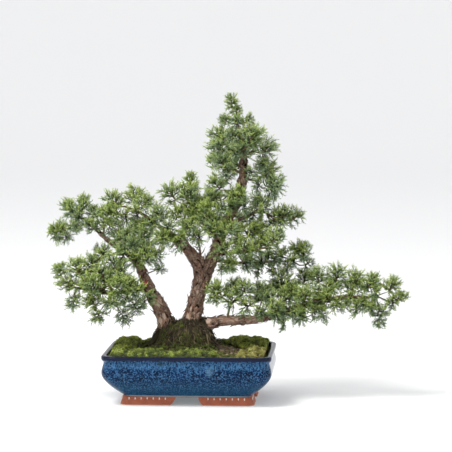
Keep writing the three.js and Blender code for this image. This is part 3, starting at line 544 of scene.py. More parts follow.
# Peeled patches as [middle, reach]
PEELED = [
    ((-0.056, -0.010, 0.103), 0.013), ((-0.052, -0.011, 0.118), 0.007),
    ((-0.083, -0.016, 0.103), 0.011), ((-0.090, -0.026, 0.128), 0.008),
    ((-0.027, -0.008, 0.101), 0.010), ((-0.004, -0.014, 0.107), 0.010),
    ((0.012, -0.012, 0.234), 0.010), ((0.012, -0.016, 0.109), 0.009),
    ((0.031, -0.018, 0.108), 0.008), ((-0.045, -0.013, 0.133), 0.007),
    ((-0.041, -0.013, 0.145), 0.006), ((-0.047, -0.012, 0.121), 0.006),
]
CUT_KNOT = ((-0.105, -0.026, 0.153), 0.0055)
PATCH_EDGE = 0.7
# How far the fibres fray the edges of peeled patches, of the knot and of the stain
PEEL_FRAY = 0.0022
KNOT_FRAY = 0.0006
STAIN_FRAY = 0.0012
# The dead twig in the fork, as strings of places in mm
DEAD_TWIGS = [
    [(-37, -10, 196), (-38, -10, 205), (-37, -11, 216), (-39, -12, 226)],
    [(-35, -9, 188), (-36, -10, 194), (-40, -11, 199), (-45, -12, 202)],
    [(-34, -9, 185), (-34, -10, 190), (-31, -11, 194), (-28, -12, 201)],
    [(-37, -10, 200), (-37, -10, 205), (-34, -11, 209), (-32, -12, 216)],
    [(-38, -10, 206), (-38, -10, 210), (-42, -11, 214), (-44, -12, 221)],
]
DEAD_TWIG_RADIUS = 0.0008
# The cracks' darker bark, deepened to nearly black as painted shade
BARK_CREVICE_SHADE = (0.018, 0.010, 0.006, 1)
BARK_BROWN = (0.165, 0.098, 0.066, 1)
BARK_RIDGE = (0.540, 0.390, 0.300, 1)
BARK_RED = (0.330, 0.150, 0.100, 1)
BARK_WEATHERED = (0.062, 0.043, 0.030, 1)
BARK_UNDER = (0.340, 0.205, 0.140, 1)
BARK_PEELED = (0.520, 0.385, 0.300, 1)
BARK_STAINED = (0.036, 0.030, 0.014, 1)
KNOT_RED = (0.330, 0.060, 0.050, 1)


def copy_of(node, name):
    """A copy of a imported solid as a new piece, its loose triangles merged."""
    piece = bpy.data.objects.new(name, nodes[node].data.copy())
    bpy.context.collection.objects.link(piece)
    piece.data.materials.clear()
    with editing(piece):
        bpy.ops.mesh.remove_doubles(threshold=1e-6)
    return piece


def rows_of(rows, key, kind):
    """Three numbers for each vertex or face, as an array."""
    values = np.empty(len(rows) * 3, kind)
    rows.foreach_get(key, values)
    return values.reshape(-1, 3)


def places_of(mesh):
    """The mesh's vertex places as an array."""
    return rows_of(mesh.vertices, "co", np.float32).astype(float)


def normals_of(mesh):
    """The mesh's vertex normals as an array."""
    return rows_of(mesh.vertex_normals, "vector", np.float32).astype(float)


def faces_of(mesh):
    """The mesh's triangles as an array of vertex numbers."""
    return rows_of(mesh.polygons, "vertices", np.int32)


def triangles_of(piece):
    """The piece's faces cut into triangles, as an array of vertex numbers."""
    with editing(piece):
        bpy.ops.mesh.quads_convert_to_tris()
    return faces_of(piece.data)


def form_of(pieces):
    """Joins modelled parts of a small form and gives its places and triangles for copying."""
    form = join_pieces(pieces, "form")
    faces = triangles_of(form)
    places = places_of(form.data)
    bpy.data.objects.remove(form)
    return places, faces


class Heap:
    """Gathers copies of small forms into one mesh, with numbers stored for each vertex."""

    def __init__(self):
        self.places, self.faces, self.values, self.count = [], [], [], 0

    def add(self, places, faces, **values):
        self.places.append(places)
        self.faces.append(faces + self.count)
        self.values.append({key: np.broadcast_to(value, len(places)) for key, value in values.items()})
        self.count += len(places)

    def piece(self, name):
        faces = np.concatenate(self.faces)
        mesh = bpy.data.meshes.new(name)
        mesh.vertices.add(self.count)
        mesh.vertices.foreach_set("co", np.concatenate(self.places).astype(np.float32).ravel())
        mesh.loops.add(len(faces) * 3)
        mesh.loops.foreach_set("vertex_index", faces.astype(np.int32).ravel())
        mesh.polygons.add(len(faces))
        mesh.polygons.foreach_set("loop_start", np.arange(len(faces), dtype=np.int32) * 3)
        mesh.update(calc_edges=True)
        for key in self.values[0]:
            values = np.concatenate([row[key] for row in self.values])
            mesh.attributes.new(key, "FLOAT", "POINT").data.foreach_set("value", values.astype(np.float32))
        mesh.shade_smooth()
        piece = bpy.data.objects.new(name, mesh)
        bpy.context.collection.objects.link(piece)
        return piece


def tree_of(places):
    """A search tree over points."""
    search = kdtree.KDTree(len(places))
    for index, place in enumerate(places):
        search.insert(place, index)
    search.balance()
    return search


def nearest_of(points, places, count):
    """For each place, the numbers of the points nearest to it."""
    search = tree_of(points)
    return np.array([[found[1] for found in search.find_n(place, count)] for place in places])


def surface_of(pieces):
    """One search tree over the faces of several pieces."""
    joined = bmesh.new()
    for piece in pieces:
        joined.from_mesh(piece.data)
    surface = BVHTree.FromBMesh(joined)
    joined.free()
    return surface


def unit(vector):
    """The same direction with a length of 1."""
    return vector / np.linalg.norm(vector)


def square_to(way, axis):
    """The direction nearest to one that stands square to an axis."""
    return unit(way - axis * way.dot(axis))


def along_frame(start, end, facing):
    """The length and three axes for a copy laid from start to end, its flat side turned to a direction."""
    forward = end - start
    length = np.linalg.norm(forward)
    forward = forward / length
    upward = square_to(facing, forward)
    return length, np.stack([forward, np.cross(upward, forward), upward])


def grain_directions(mesh, places):
    """For each place, the direction along the limb under it: the one in which the faces turn least."""
    middles = np.array([face.center for face in mesh.polygons])
    normals = np.array([face.normal for face in mesh.polygons])
    areas = np.array([face.area for face in mesh.polygons])
    products = areas[:, None, None] * normals[:, :, None] * normals[:, None, :]
    along = np.empty_like(middles)
    for index, middle in enumerate(middles):
        near = np.linalg.norm(middles - middle, axis=1) < GRAIN_REACH
        along[index] = np.linalg.eigh(products[near].sum(0))[1][..., 0]
    spread_out = along[:, :, None] * along[:, None, :]
    nearest = nearest_of(middles, places, GRAIN_FACES)
    return -np.linalg.eigh(-spread_out[nearest].sum(1))[1][..., 0]


def streaks(places, along, neighbours, grain, rounds, seed):
    """Random values drawn out along the grain, with a mean of 0 and a spread of 1."""
    length, width = grain
    offsets = places[neighbours] - places[:, None, :]
    forward = (offsets * along[:, None, :]).sum(2)
    aside = np.sqrt(np.maximum((offsets ** 2).sum(2) - forward ** 2, 0))
    weights = np.exp(-((forward / length) ** 2) - (aside / width) ** 2)
    weights /= weights.sum(1, keepdims=True)
    values = np.random.default_rng(seed).normal(size=len(places))
    for _ in range(rounds):
        values = (weights * values[neighbours]).sum(1)
    return (values - values.mean()) / values.std()


def smooth_step(values, low, high):
    """Rises smoothly from 0 to 1 between two values."""
    share = np.clip((values - low) / (high - low), 0, 1)
    return share * share * (3 - 2 * share)


def near_patch(places, patch, fray):
    """1 well inside a patch given as its middle and reach, 0 outside it."""
    middle, reach = patch
    apart = np.linalg.norm(places - np.array(Vector(middle)), axis=1)
    return smooth_step(apart + fray, reach, reach * PATCH_EDGE)


def lay_cord(heap, stops, radius, **values):
    """A three-sided cord through several places, pointed at both ends."""
    stops = np.array(stops)
    ways = np.gradient(stops, axis=0)
    ways /= np.linalg.norm(ways, axis=1, keepdims=True)
    side = np.cross(ways, [0.31, 0.17, 0.93])
    side /= np.linalg.norm(side, axis=1, keepdims=True)
    other = np.cross(ways, side)
    places = [stops[0]]
    for index in range(1, len(stops) - 1):
        for turn in range(3):
            angle = turn * 2 * math.pi / 3
            offset = side[index] * math.cos(angle) + other[index] * math.sin(angle)
            places.append(stops[index] + offset * radius)
    places.append(stops[-1])
    end = 3 * (len(stops) - 3)
    faces = []
    for turn in range(3):
        here, following = 1 + turn, 1 + (turn + 1) % 3
        faces.append((0, following, here))
        for low in range(0, end, 3):
            high = low + 3
            faces.append((here + low, following + low, following + high))
            faces.append((here + low, following + high, here + high))
        faces.append((here + end, following + end, end + 4))
    heap.add(np.array(places), np.array(faces), **values)


def limb_thickness(solid, places, normals):
    """How thick the wood is under each place, seen along its normal."""
    sight = surface_of([solid])
    thickness = np.full(len(places), THIN_LIMB * 2)
    for index, (place, normal) in enumerate(zip(places, normals)):
        inward = Vector(-normal)
        distance = sight.ray_cast(Vector(place) + inward * 0.0004, inward)[3]
        if distance is not None:
            thickness[index] = distance
    return thickness


def stored(tree, *names):
    """The values stored for each vertex under these names."""
    return [add_node(tree, "Attribute", attribute_name=name).outputs["Fac"] for name in names]


def make_bark():
    """Flaky bark: cracks darkened with painted shade, grey-brown ridges, red-brown underlayers, pale
    peeled wood.
    """
    material = new_material("flaky_bark", {"Roughness": 0.9, "Specular IOR Level": 0.25})
    tree = material.node_tree
    relief, peel, stain, knot = stored(tree, "relief", "peel", "stain", "knot")
    blotch, speckle = speckles(tree, object_place(tree), 55, 900)
    inner = blend(tree, blotch, BARK_BROWN, BARK_RED)
    outer = blend(tree, speckle, BARK_BROWN, BARK_RIDGE)
    weathered = blend(tree, ranged(tree, blotch, 0.0, 0.60), outer, BARK_WEATHERED)
    layered = blend(tree, fade(tree, relief, 0.30, 0.80), inner, weathered)
    # Painted shade: the lowest relief, the cracks between the plates, turns nearly black
    deep = blend(tree, fade(tree, relief, 0.56, 0.20), layered, BARK_CREVICE_SHADE)
    inner_wood = blend(tree, fade(tree, relief, 0.25, 0.55), BARK_UNDER, BARK_PEELED)
    bare = blend(tree, peel, deep, inner_wood)
    stained = blend(tree, stain, blend(tree, knot, bare, KNOT_RED), BARK_STAINED)
    return painted(material, stained, (speckle, 0.4, 0.0004))


wood_solid = copy_of("wood", "wood_solid")
wood = copy_of("wood", "bark")
with editing(wood):
    bpy.ops.mesh.tris_convert_to_quads(face_threshold=math.radians(50), shape_threshold=math.radians(60))
apply_modifier(wood, "round", "SUBSURF", levels=2, render_levels=2)
apply_modifier(wood, "skin", "REMESH", mode="VOXEL", voxel_size=BARK_VOXEL)
apply_modifier(wood, "ease", "SMOOTH", factor=0.5, iterations=ROUNDING_PASSES)
places = places_of(wood.data)
normals = normals_of(wood.data)
thickness = limb_thickness(wood_solid, places, normals)
girth = np.clip(thickness / THIN_LIMB, 0, 1)
thin_share, thick_share = DRAWN_IN
drawn_in = np.minimum(thickness, THICKEST) * (thin_share + (thick_share - thin_share) * girth)
places += normals * drawn_in[:, None]
along = grain_directions(wood_solid.data, places)
neighbours = nearest_of(places, places, STREAK_NEIGHBOURS)
plates = streaks(places, along, neighbours, *PLATE_STREAKS)
fibres = streaks(places, along, neighbours, *FIBRE_STREAKS)
cracks = smooth_step(np.abs(plates), *CRACK_EDGES)
relief = np.clip(0.70 * cracks + 0.10 * plates + 0.10 + 0.08 * fibres, 0, 1)
peel = np.max([near_patch(places, patch, PEEL_FRAY * fibres) for patch in PEELED], axis=0)
knot = near_patch(places, CUT_KNOT, KNOT_FRAY * fibres)
stain = smooth_step(places[:, 2] + STAIN_FRAY * fibres, *SOIL_STAIN)
raised = (relief - 0.45) * (1 - 0.75 * peel) - 0.1 * peel
height = BARK_RELIEF * np.clip(girth, 0.15, 1)
places += normals * (height * raised)[:, None]
skin = Heap()
skin.add(places, triangles_of(wood), relief=relief, peel=peel, stain=stain, knot=knot)
bpy.data.objects.remove(wood)
bpy.data.objects.remove(wood_solid)
bpy.ops.mesh.primitive_cone_add(vertices=4, radius1=1, depth=1, location=(0, 0, FLAKE_LENGTH / 2))
flake = bpy.context.object
flake.scale = (FLAKE_WIDTH, FLAKE_WIDTH * 0.3, FLAKE_LENGTH)
settle(flake, "flake")
flake_places, flake_faces = form_of([flake])
draw = np.random.default_rng(12)
lifts = draw.uniform(*FLAKE_LIFTS, FLAKE_COUNT)
for index, lift in zip(draw.choice(np.flatnonzero(girth > FLAKES_ABOVE_GIRTH), FLAKE_COUNT), lifts):
    if peel[index] > 0.3 or places[index, 2] < SOIL_STAIN[1]:
        continue
    outward = normals[index]
    forward = along[index] - outward * along[index].dot(outward) + draw.normal(0, FLAKE_SWAY, 3)
    forward *= draw.choice((-1, 1)) / np.linalg.norm(forward)
    way = forward * math.cos(lift) + outward * math.sin(lift)
    _, axes = along_frame(np.zeros(3), way, outward)
    turned = np.stack([np.cross(axes[0], axes[2]), axes[2], axes[0]])
    length = draw.uniform(*FLAKE_SIZES) * min(1, girth[index] + 0.1)
    start = places[index] - outward * FLAKE_SINK
    layer = draw.uniform(0.45, 1)
    skin.add(start + (flake_places * length) @ turned, flake_faces, relief=layer, peel=0, stain=0, knot=0)
for stops in DEAD_TWIGS:
    lay_cord(skin, np.array(stops) / 1000, DEAD_TWIG_RADIUS, relief=0.35, peel=0, stain=0, knot=0)
wood = skin.piece("bark")
wood.data.materials.append(make_bark())
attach(wood, "root")
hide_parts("wood")


# Foliage: each spray is a forked twig with tufts of short forked shoots, thin as string and clothed in
# tiny overlapping scales, blue-green inside and yellow-green at the tips, and darkened with painted
# shade towards the shoots' bases deep in the tufts. The shoot is modelled in a few forms and copied
# onto every shoot of the imported spray, with smaller ones between them.
SHOOT_LENGTH = 0.024
SHOOT_FORMS = 6
SHOOT_SWAY = 0.0011
CORD_SIDES = 3
CORD_RADIUS = 0.00072
CORD_OVERLAP = 1.3
SIDE_CORDS = 9
SIDE_CORD_SPAN = (0.14, 0.94)
SIDE_CORD_REACH = 0.0105
SIDE_CORD_ANGLE = math.radians(40)
SIDE_CORD_RISE = (-0.9, 1.1)
# How long side cords are as a share of their reach, and how much of it they lose towards the tip
SIDE_CORD_TAPER = (1.1, 0.72)
FORKED_CORDS = 6
FORK_PLACE = 0.40
FORK_REACH = 0.55
FORK_THINNED = 0.85
MAIN_BENDS = 3
# How much fresher, and the freer of painted shade, the scales are at a shoot's end, and for each
# millimetre away from its stem
FRESH_AND_LIT_ALONG = 0.55
FRESH_AND_LIT_ASIDE = 0.075
SHOOT_SHARE = 0.97
SHOOT_VARIES = (0.80, 1.10)
LATERALS = (1, 2, 2)
LATERAL_PLACES = (0.2, 0.6)
LATERAL_ANGLES = (math.radians(30), math.radians(65))
LATERAL_LENGTHS = (0.5, 0.8)
TIP_REACH = 0.006
LEADER_FACES = 5
CORE_LENGTH = 0.011
CORE_THINNED = 0.42
COLLAR_SIDES = 6
COLLAR_FLARE = (0.0022, 0.0015)
COLLAR_SINK = 0.0012
COLLAR_OVERLAP = 0.0016
# Sprays whose outermost shoots stop shorter than they were drawn
SHORTER = {"spray_crown_tip": 0.74, "spray_left_end": 0.84, "spray_low_end": 0.9}
# Small tufts on side twigs that close the gaps between the larger ones, as [x, y, z, reach] in mm
SIDE_TUFTS = {
    "spray_canopy_front": [
        (-60, -34, 210, 15), (-48, -36, 230, 15), (-34, -28, 214, 14), (-19, -24, 234, 15),
        (-6, -22, 252, 15),
    ],
    "spray_canopy_left": [(-96, -20, 233, 16), (-74, -34, 227, 16), (-85, -30, 211, 14)],
    "spray_crown_front": [(14, -24, 363, 13), (21, -25, 327, 15), (7, -28, 255, 15)],
    "spray_crown_left_low": [(7, -18, 266, 15), (24, -18, 254, 15)],
    "spray_crown_left_mid": [(-2, -12, 294, 13), (31, -14, 298, 11)],
    "spray_crown_right_high": [(13, -18, 323, 14), (46, -12, 308, 13), (54, 2, 290, 13)],
    "spray_crown_right_mid": [(40, -14, 280, 13), (58, -6, 272, 12)],
    "spray_front_high": [(-1, -24, 226, 14), (18, -28, 211, 15)],
    "spray_left_mid": [
        (-114, -8, 227, 13), (-122, -34, 203, 17), (-105, -34, 198, 16), (-90, -30, 192, 15),
        (-133, -36, 190, 16), (-117, -42, 186, 15), (-86, -26, 173, 10),
    ],
    "spray_left_end": [
        (-225, -10, 214, 13), (-210, -8, 211, 11), (-215, -10, 225, 13), (-202, -14, 247, 14),
        (-187, -12, 251, 13), (-192, -16, 238, 13),
    ],
    "spray_left_ridge": [(-148, -14, 243, 15), (-150, -14, 227, 15), (-137, -14, 219, 14)],
    "spray_low_far_front": [
        (119, -26, 132, 15), (142, -22, 128, 14), (118, -22, 146, 14), (134, -18, 148, 12),
    ],
    "spray_low_middle": [
        (83, -28, 119, 16), (101, -24, 124, 15), (75, -24, 103, 11), (96, -18, 107, 12),
        (124, -18, 114, 13),
    ],
    "spray_low_near": [(-15, -22, 137, 13), (7, -26, 132, 16), (28, -30, 125, 16)],
    "spray_low_second": [
        (46, -30, 119, 15), (65, -30, 117, 15), (58, -26, 136, 13), (76, -26, 133, 13),
    ],
    "spray_lower_left_mid": [
        (-148, -38, 183, 15), (-135, -44, 170, 16), (-190, -34, 150, 12), (-176, -38, 147, 13),
        (-160, -42, 144, 13),
    ],
    "spray_lower_left_near": [(-114, -50, 148, 15), (-128, -52, 138, 16)],
    "spray_lower_left_top": [(-158, -30, 194, 13)],
    "spray_low_end": [
        (176, -16, 130, 13), (188, -10, 124, 12), (202, -12, 118, 13), (214, -4, 128, 13),
        (194, -12, 143, 13), (183, -12, 150, 12),
    ],
    "spray_low_end_near": [(160, -14, 136, 14), (168, -20, 122, 13)],
    "spray_mid_right": [(33, -22, 200, 16), (24, -10, 178, 14), (45, -12, 214, 14)],
    "spray_mid_right_near": [(7, -26, 182, 14), (-8, -18, 172, 10)],
    "spray_right_lower": [
        (44, 10, 179, 14), (60, 20, 183, 14), (40, 12, 168, 12), (58, 22, 168, 12), (78, 24, 170, 12),
        (98, 22, 188, 13), (88, 20, 196, 12), (30, 4, 182, 12), (52, 10, 185, 12), (70, 14, 184, 12),
        (86, 14, 180, 12),
    ],
    "spray_right_upper": [(38, -8, 261, 13), (32, -14, 243, 12), (46, -12, 246, 12)],
    "spray_upper_left": [(-133, -10, 236, 16), (-117, -14, 242, 16), (-108, -14, 228, 14)],
}
SIDE_TUFT_SHOOTS = 15
SIDE_TUFT_LATERALS = (0, 1, 1)
SIDE_TUFT_LENGTHS = (0.75, 1.3)
SIDE_TUFT_SPREAD = 1.75
GOLDEN_ANGLE = math.radians(137.5)
SIDE_TWIG_RADIUS = 0.0009
SIDE_TWIG_SAG = 0.12
# The dark tone painted as shade inside the tufts
SCALE_SHADE = (0.010, 0.026, 0.006, 1)
SCALE_GREEN = (0.305, 0.430, 0.082, 1)
SCALE_BLUE = (0.262, 0.385, 0.182, 1)
SCALE_FRESH = (0.780, 0.870, 0.310, 1)
TWIG_BROWN = (0.190, 0.145, 0.070, 1)


def add_cone(middle, way, reach, radius):
    """A slim three-sided cone about its middle, its tip turned in a direction."""
    bpy.ops.mesh.primitive_cone_add(
        vertices=CORD_SIDES, radius1=radius, depth=reach, location=middle,
        rotation=way.to_track_quat("Z", "Y").to_euler(),
    )
    return bpy.context.object


def cord(root, way, reach, radius):
    """One cord of scale leaves, drawn out to its tip."""
    return settle(add_cone(root + way * reach / 2, way, reach, radius), "cord")


def shoot_form(seed):
    """One forked shoot along +X: a bent main cord with forked side cords left and right."""
    draw = random.Random(seed)
    bends = [Vector((0, 0, 0))]
    for step in range(1, MAIN_BENDS + 1):
        sway = SHOOT_SWAY * step
        x = SHOOT_LENGTH * step / MAIN_BENDS
        bends.append(Vector((x, draw.uniform(-sway, sway), draw.uniform(-sway, sway) * 0.7)))
    cords = []
    for start, end in zip(bends, bends[1:]):
        way = end - start
        cords.append(cord(start, way.normalized(), way.length * CORD_OVERLAP, CORD_RADIUS))
    low, high = SIDE_CORD_SPAN
    full, taper = SIDE_CORD_TAPER
    for index in range(SIDE_CORDS):
        share = low + (high - low) * index / (SIDE_CORDS - 1)
        stage = min(int(share * MAIN_BENDS), MAIN_BENDS - 1)
        root = bends[stage].lerp(bends[stage + 1], share * MAIN_BENDS - stage)
        side = 1 if index % 2 else -1
        angle = SIDE_CORD_ANGLE * draw.uniform(0.7, 1.3)
        reach = SIDE_CORD_REACH * (full - share * taper) * draw.uniform(0.8, 1.15)
        rise = draw.uniform(*SIDE_CORD_RISE)
        way = Vector((math.cos(angle), side * math.sin(angle), math.sin(angle) * rise)).normalized()
        cords.append(cord(root, way, reach, CORD_RADIUS * draw.uniform(0.9, 1.1)))
        if index < FORKED_CORDS:
            fork = (way + Vector((0.35, -side * 0.5, draw.uniform(-0.6, 0.7)))).normalized()
            start = root + way * reach * FORK_PLACE
            cords.append(cord(start, fork, reach * FORK_REACH, CORD_RADIUS * FORK_THINNED))
    places, faces = form_of(cords)
    from_stem = np.linalg.norm(places[:, 1:], axis=1)
    fresh = FRESH_AND_LIT_ALONG * places[:, 0] / SHOOT_LENGTH + FRESH_AND_LIT_ASIDE * from_stem / 0.001
    return places, faces, np.clip(fresh, 0, 1)


def lay_shoot(heap, form, start, end, facing, hue):
    """Lays a copy of a shoot form from start to end."""
    places, faces, fresh = form
    length, axes = along_frame(start, end, facing)
    share = length / SHOOT_LENGTH
    girth = math.sqrt(share)
    stretched = places * np.array([share, girth, girth])
    heap.add(start + stretched @ axes, faces, fresh=fresh, hue=hue, twig=0.0)


def read_spray(node):
    """A packed spray's places, its triangles, and each shoot's tip with the corners of its base."""
    solid = copy_of(node, "spray_solid")
    places, faces = places_of(solid.data), faces_of(solid.data)
    bpy.data.objects.remove(solid)
    touching = [set() for _ in places]
    for a, b, c in faces:
        touching[a].update((b, c))
        touching[b].update((c, a))
        touching[c].update((a, b))
    tips = {}
    for index, others in enumerate(touching):
        others = sorted(others)
        if np.linalg.norm(places[others] - places[index], axis=1).min() > TIP_REACH:
            tips[index] = others
    return places, faces, tips


def cores_of(places, tips):
    """Each tuft's core as the two ends of its axis, from its leading shoot."""
    cores = []
    for tip, base in tips.items():
        if len(base) >= LEADER_FACES:
            head = places[base].mean(0)
            cores.append((head - unit(places[tip] - head) * CORE_LENGTH, head))
    return cores


def onto_axis(place, cores):
    """The nearest point to a place on the nearest core's axis."""
    best, reach = None, math.inf
    for foot, head in cores:
        span = head - foot
        share = min(1, max(0, (place - foot).dot(span) / span.dot(span)))
        point = foot + span * share
        apart = np.linalg.norm(place - point)
        if apart < reach:
            best, reach = point, apart
    return best


def make_scales():
    """Scale foliage: painted shade within, blue-green to green outside, yellow-green tips, brown twigs."""
    material = new_material("scale_foliage", {"Roughness": 0.75, "Specular IOR Level": 0.3})
    tree = material.node_tree
    fresh, hue, twig = stored(tree, "fresh", "hue", "twig")
    blotch, speckle = speckles(tree, object_place(tree), 26, 1400)
    mood = add_node(tree, "Math", {0: hue, 1: blotch}, operation="ADD").outputs["Value"]
    green = blend(tree, fade(tree, mood, 0.55, 1.35), SCALE_BLUE, SCALE_GREEN)
    # Painted shade: the scales darken to nearly black towards the shoots' bases, deep inside the tufts
    shaded = blend(tree, fade(tree, fresh, 0.66, 0.12), green, SCALE_SHADE)
    # Fresh growth and painted light from above: tips grow brighter the more a shoot points up
    youth_and_top_light = times(tree, fade(tree, fresh, 0.35, 1.0), hue)
    tipped = blend(tree, youth_and_top_light, shaded, SCALE_FRESH)
    scaled = blend(tree, 0.35, tipped, speckle, "OVERLAY")
    return painted(material, blend(tree, twig, scaled, TWIG_BROWN), (speckle, 0.5, 0.0002))


def collar(heap, start, end):
    """A short flared foot that carries a spray's stem into its limb."""
    wide, narrow = COLLAR_FLARE
    _, axes = along_frame(start, end, np.array([0.3, 0.2, 1.0]))
    ring = np.arange(COLLAR_SIDES) / COLLAR_SIDES * 2 * math.pi
    circle = np.stack([np.zeros(COLLAR_SIDES), np.cos(ring), np.sin(ring)], axis=1)
    rings = [start + (circle * wide) @ axes, end + (circle * narrow) @ axes]
    places = np.concatenate(rings + [[start], [end]])
    near_middle, far_middle = 2 * COLLAR_SIDES, 2 * COLLAR_SIDES + 1
    faces = []
    for near in range(COLLAR_SIDES):
        following = (near + 1) % COLLAR_SIDES
        far, far_following = COLLAR_SIDES + near, COLLAR_SIDES + following
        faces += [(near, following, far_following), (near, far_following, far)]
        faces += [(near_middle, following, near), (far_middle, far, far_following)]
    heap.add(places, np.array(faces), fresh=0.0, hue=0.5, twig=1.0)


def lay_shoots(heap, root, end, laterals, draw):
    """A shoot from its root to its end, with smaller ones that fork off it."""
    length = np.linalg.norm(end - root)
    way = (end - root) / length
    lay_shoot(heap, draw.choice(shoot_forms), root, end, shoot_facing(draw), shoot_hue_and_top_light(way, draw))
    for _ in range(draw.choice(laterals)):
        share = draw.uniform(*LATERAL_PLACES)
        aside = square_to(np.array([draw.gauss(0, 1), draw.gauss(0, 1), draw.gauss(0, 1) + 0.35]), way)
        angle = draw.uniform(*LATERAL_ANGLES)
        reach = length * draw.uniform(*LATERAL_LENGTHS) * (1.2 - share * 0.5)
        start = root + (end - root) * share
        tip = start + (way * math.cos(angle) + aside * math.sin(angle)) * reach
        lay_shoot(heap, draw.choice(shoot_forms), start, tip, shoot_facing(draw), shoot_hue_and_top_light(way, draw))


def shoot_hue_and_top_light(way, draw):
    """Upward shoots are yellower with brighter tips, the others bluer: own colour and painted top light.
    """
    return min(max(0.42 + 0.38 * way[2] + draw.gauss(0, 0.22), 0), 1)


def shoot_facing(draw):
    """A shoot's flat side mostly faces up."""
    return np.array([draw.gauss(0, 0.6), draw.gauss(0, 0.6), 1.0])


def lay_side_tuft(heap, place, reach, surfaces, draw):
    """A small tuft on its own bent twig from the nearest twig or limb."""
    feet = [np.array(surface.find_nearest(Vector(place))[0]) for surface in surfaces]
    root = min(feet, key=lambda foot: np.linalg.norm(foot - place))
    span = np.linalg.norm(place - root)
    sag = np.array([draw.uniform(-1, 1), draw.uniform(-1, 1), draw.uniform(-1, 0.2)])
    bend = (root + place) / 2 + sag * SIDE_TWIG_SAG * span
    under = root - (bend - root) * 0.12
    head = place + unit(place - root) * reach * 0.15
    lay_cord(heap, [under, root, bend, place, head], SIDE_TWIG_RADIUS, fresh=0.1, hue=0.5, twig=0.8)
    axis = unit(place - root + np.array([0, 0, 0.5]) * span)
    for index in range(SIDE_TUFT_SHOOTS):
        lean = 1 - SIDE_TUFT_SPREAD * (index + 0.5) / SIDE_TUFT_SHOOTS
        turn = index * GOLDEN_ANGLE + draw.uniform(-0.4, 0.4)
        aside = unit(np.cross(axis, [math.cos(turn), math.sin(turn), 0.3]))
        way = axis * lean + aside * math.sqrt(max(1 - lean ** 2, 0))
        start = place - axis * reach * 0.12 * (1 - lean)
        end = start + way * reach * draw.uniform(*SIDE_TUFT_LENGTHS)
        lay_shoots(heap, start, end, SIDE_TUFT_LATERALS, draw)


def dress_spray(node, wood_surface, seed):
    """One spray: its twigs thinned, its stem run into the limb, a shoot on every drawn shoot."""
    draw = random.Random(seed)
    places, faces, tips = read_spray(node)
    cores = cores_of(places, tips)
    heap = Heap()
    twigs = places.copy()
    for base in sorted({index for base in tips.values() for index in base}):
        middle = onto_axis(places[base], cores)
        twigs[base] = middle + (places[base] - middle) * CORE_THINNED
    for tip, base in tips.items():
        twigs[tip] = twigs[base].mean(0)
    heap.add(twigs, faces, fresh=0.15, hue=0.5, twig=0.8)
    plain = [index for index in range(len(places)) if index not in tips]
    apart = [wood_surface.find_nearest(Vector(places[index]))[3] for index in plain]
    foot = places[[plain[index] for index in np.argsort(apart)[:3]]].mean(0)
    under = np.array(wood_surface.find_nearest(Vector(foot))[0])
    into = (under - foot) / max(np.linalg.norm(under - foot), 1e-6)
    collar(heap, under + into * COLLAR_SINK, foot - into * COLLAR_OVERLAP)
    for tip, base in tips.items():
        root = onto_axis(places[base].mean(0), cores)
        end = root + (places[tip] - root) * SHORTER.get(node, SHOOT_SHARE) * draw.uniform(*SHOOT_VARIES)
        lay_shoots(heap, root, end, LATERALS, draw)
    twig_surface = BVHTree.FromPolygons(twigs.tolist(), faces.tolist())
    for x, y, z, reach in SIDE_TUFTS.get(node, []):
        place = np.array([x, y, z]) / 1000
        lay_side_tuft(heap, place, reach / 1000, (wood_surface, twig_surface), draw)
    return heap.piece("foliage_" + node.removeprefix("spray_"))


shoot_forms = [shoot_form(seed) for seed in range(SHOOT_FORMS)]
scales = make_scales()
bark_surface = surface_of([wood])
for seed, node in enumerate(name for name in sorted(nodes) if name.startswith("spray_")):
    spray = dress_spray(node, bark_surface, seed)
    spray.data.materials.append(scales)
    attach(spray, "root")
    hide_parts(node)


# Soil: clay grains and bark crumbs packed round the roots and heaped into a steep root ball under the
# trunks. It shows as brown grains where no moss grows, dark and full of roots on the root ball.
SOIL_CUTS = 5
# Unevenness as [width of its lumps, their height]
SOIL_LUMPS = (0.004, 0.0012)
ROOT_BALL_LUMPS = (0.013, 0.0030)
# A face or vertex counts as the soil's top where its normal rises this much and it stands this high
UPWARD = 0.1
SOIL_TOP_LOW = 0.0598
SOIL_EDGE_HALF = (0.1008, 0.0758)
SOIL_EDGE_HEIGHT = 0.060
SOIL_CROWN = 0.008
ROOT_BALL = (-0.057, 0.0)
ROOT_BALL_SPAN = (0.0365, 0.030)
ROOT_BALL_HEIGHT = 0.031
BARE_PATCH = ((0.002, 0.006), (0.029, 0.044))
GRAIN_SIZES = (0.0009, 0.0023)
GRAIN_STRETCH = (0.6, 1.1)
GRAIN_COUNT = 1500
GRAINS_UNDER_MOSS = 0.25
SOIL_DARK = (0.040, 0.027, 0.012, 1)
SOIL_BROWN = (0.150, 0.095, 0.045, 1)
SOIL_PALE = (0.400, 0.310, 0.190, 1)


def select_upward(piece):
    """In edit mode, selects just the faces that look up."""
    bpy.ops.mesh.select_mode(type="FACE")
    bpy.ops.mesh.select_all(action="DESELECT")
    mesh = bmesh.from_edit_mesh(piece.data)
    for face in mesh.faces:
        if face.normal.z > UPWARD:
            face.select = True
    mesh.select_flush_mode()
    bmesh.update_edit_mesh(piece.data)


def move_to(mesh, places):
    """Puts the mesh's vertices at new places."""
    mesh.vertices.foreach_set("co", places.astype(np.float32).ravel())
    mesh.update()


def on_root_ball(x, y):
    """How far up the root ball a place is: 1 on its flat top, 0 well away from it."""
    across = (x - ROOT_BALL[0]) / ROOT_BALL_SPAN[0]
    deep = (y - ROOT_BALL[1]) / ROOT_BALL_SPAN[1]
    return 1 / (1 + (across ** 2 + deep ** 2) ** 4)


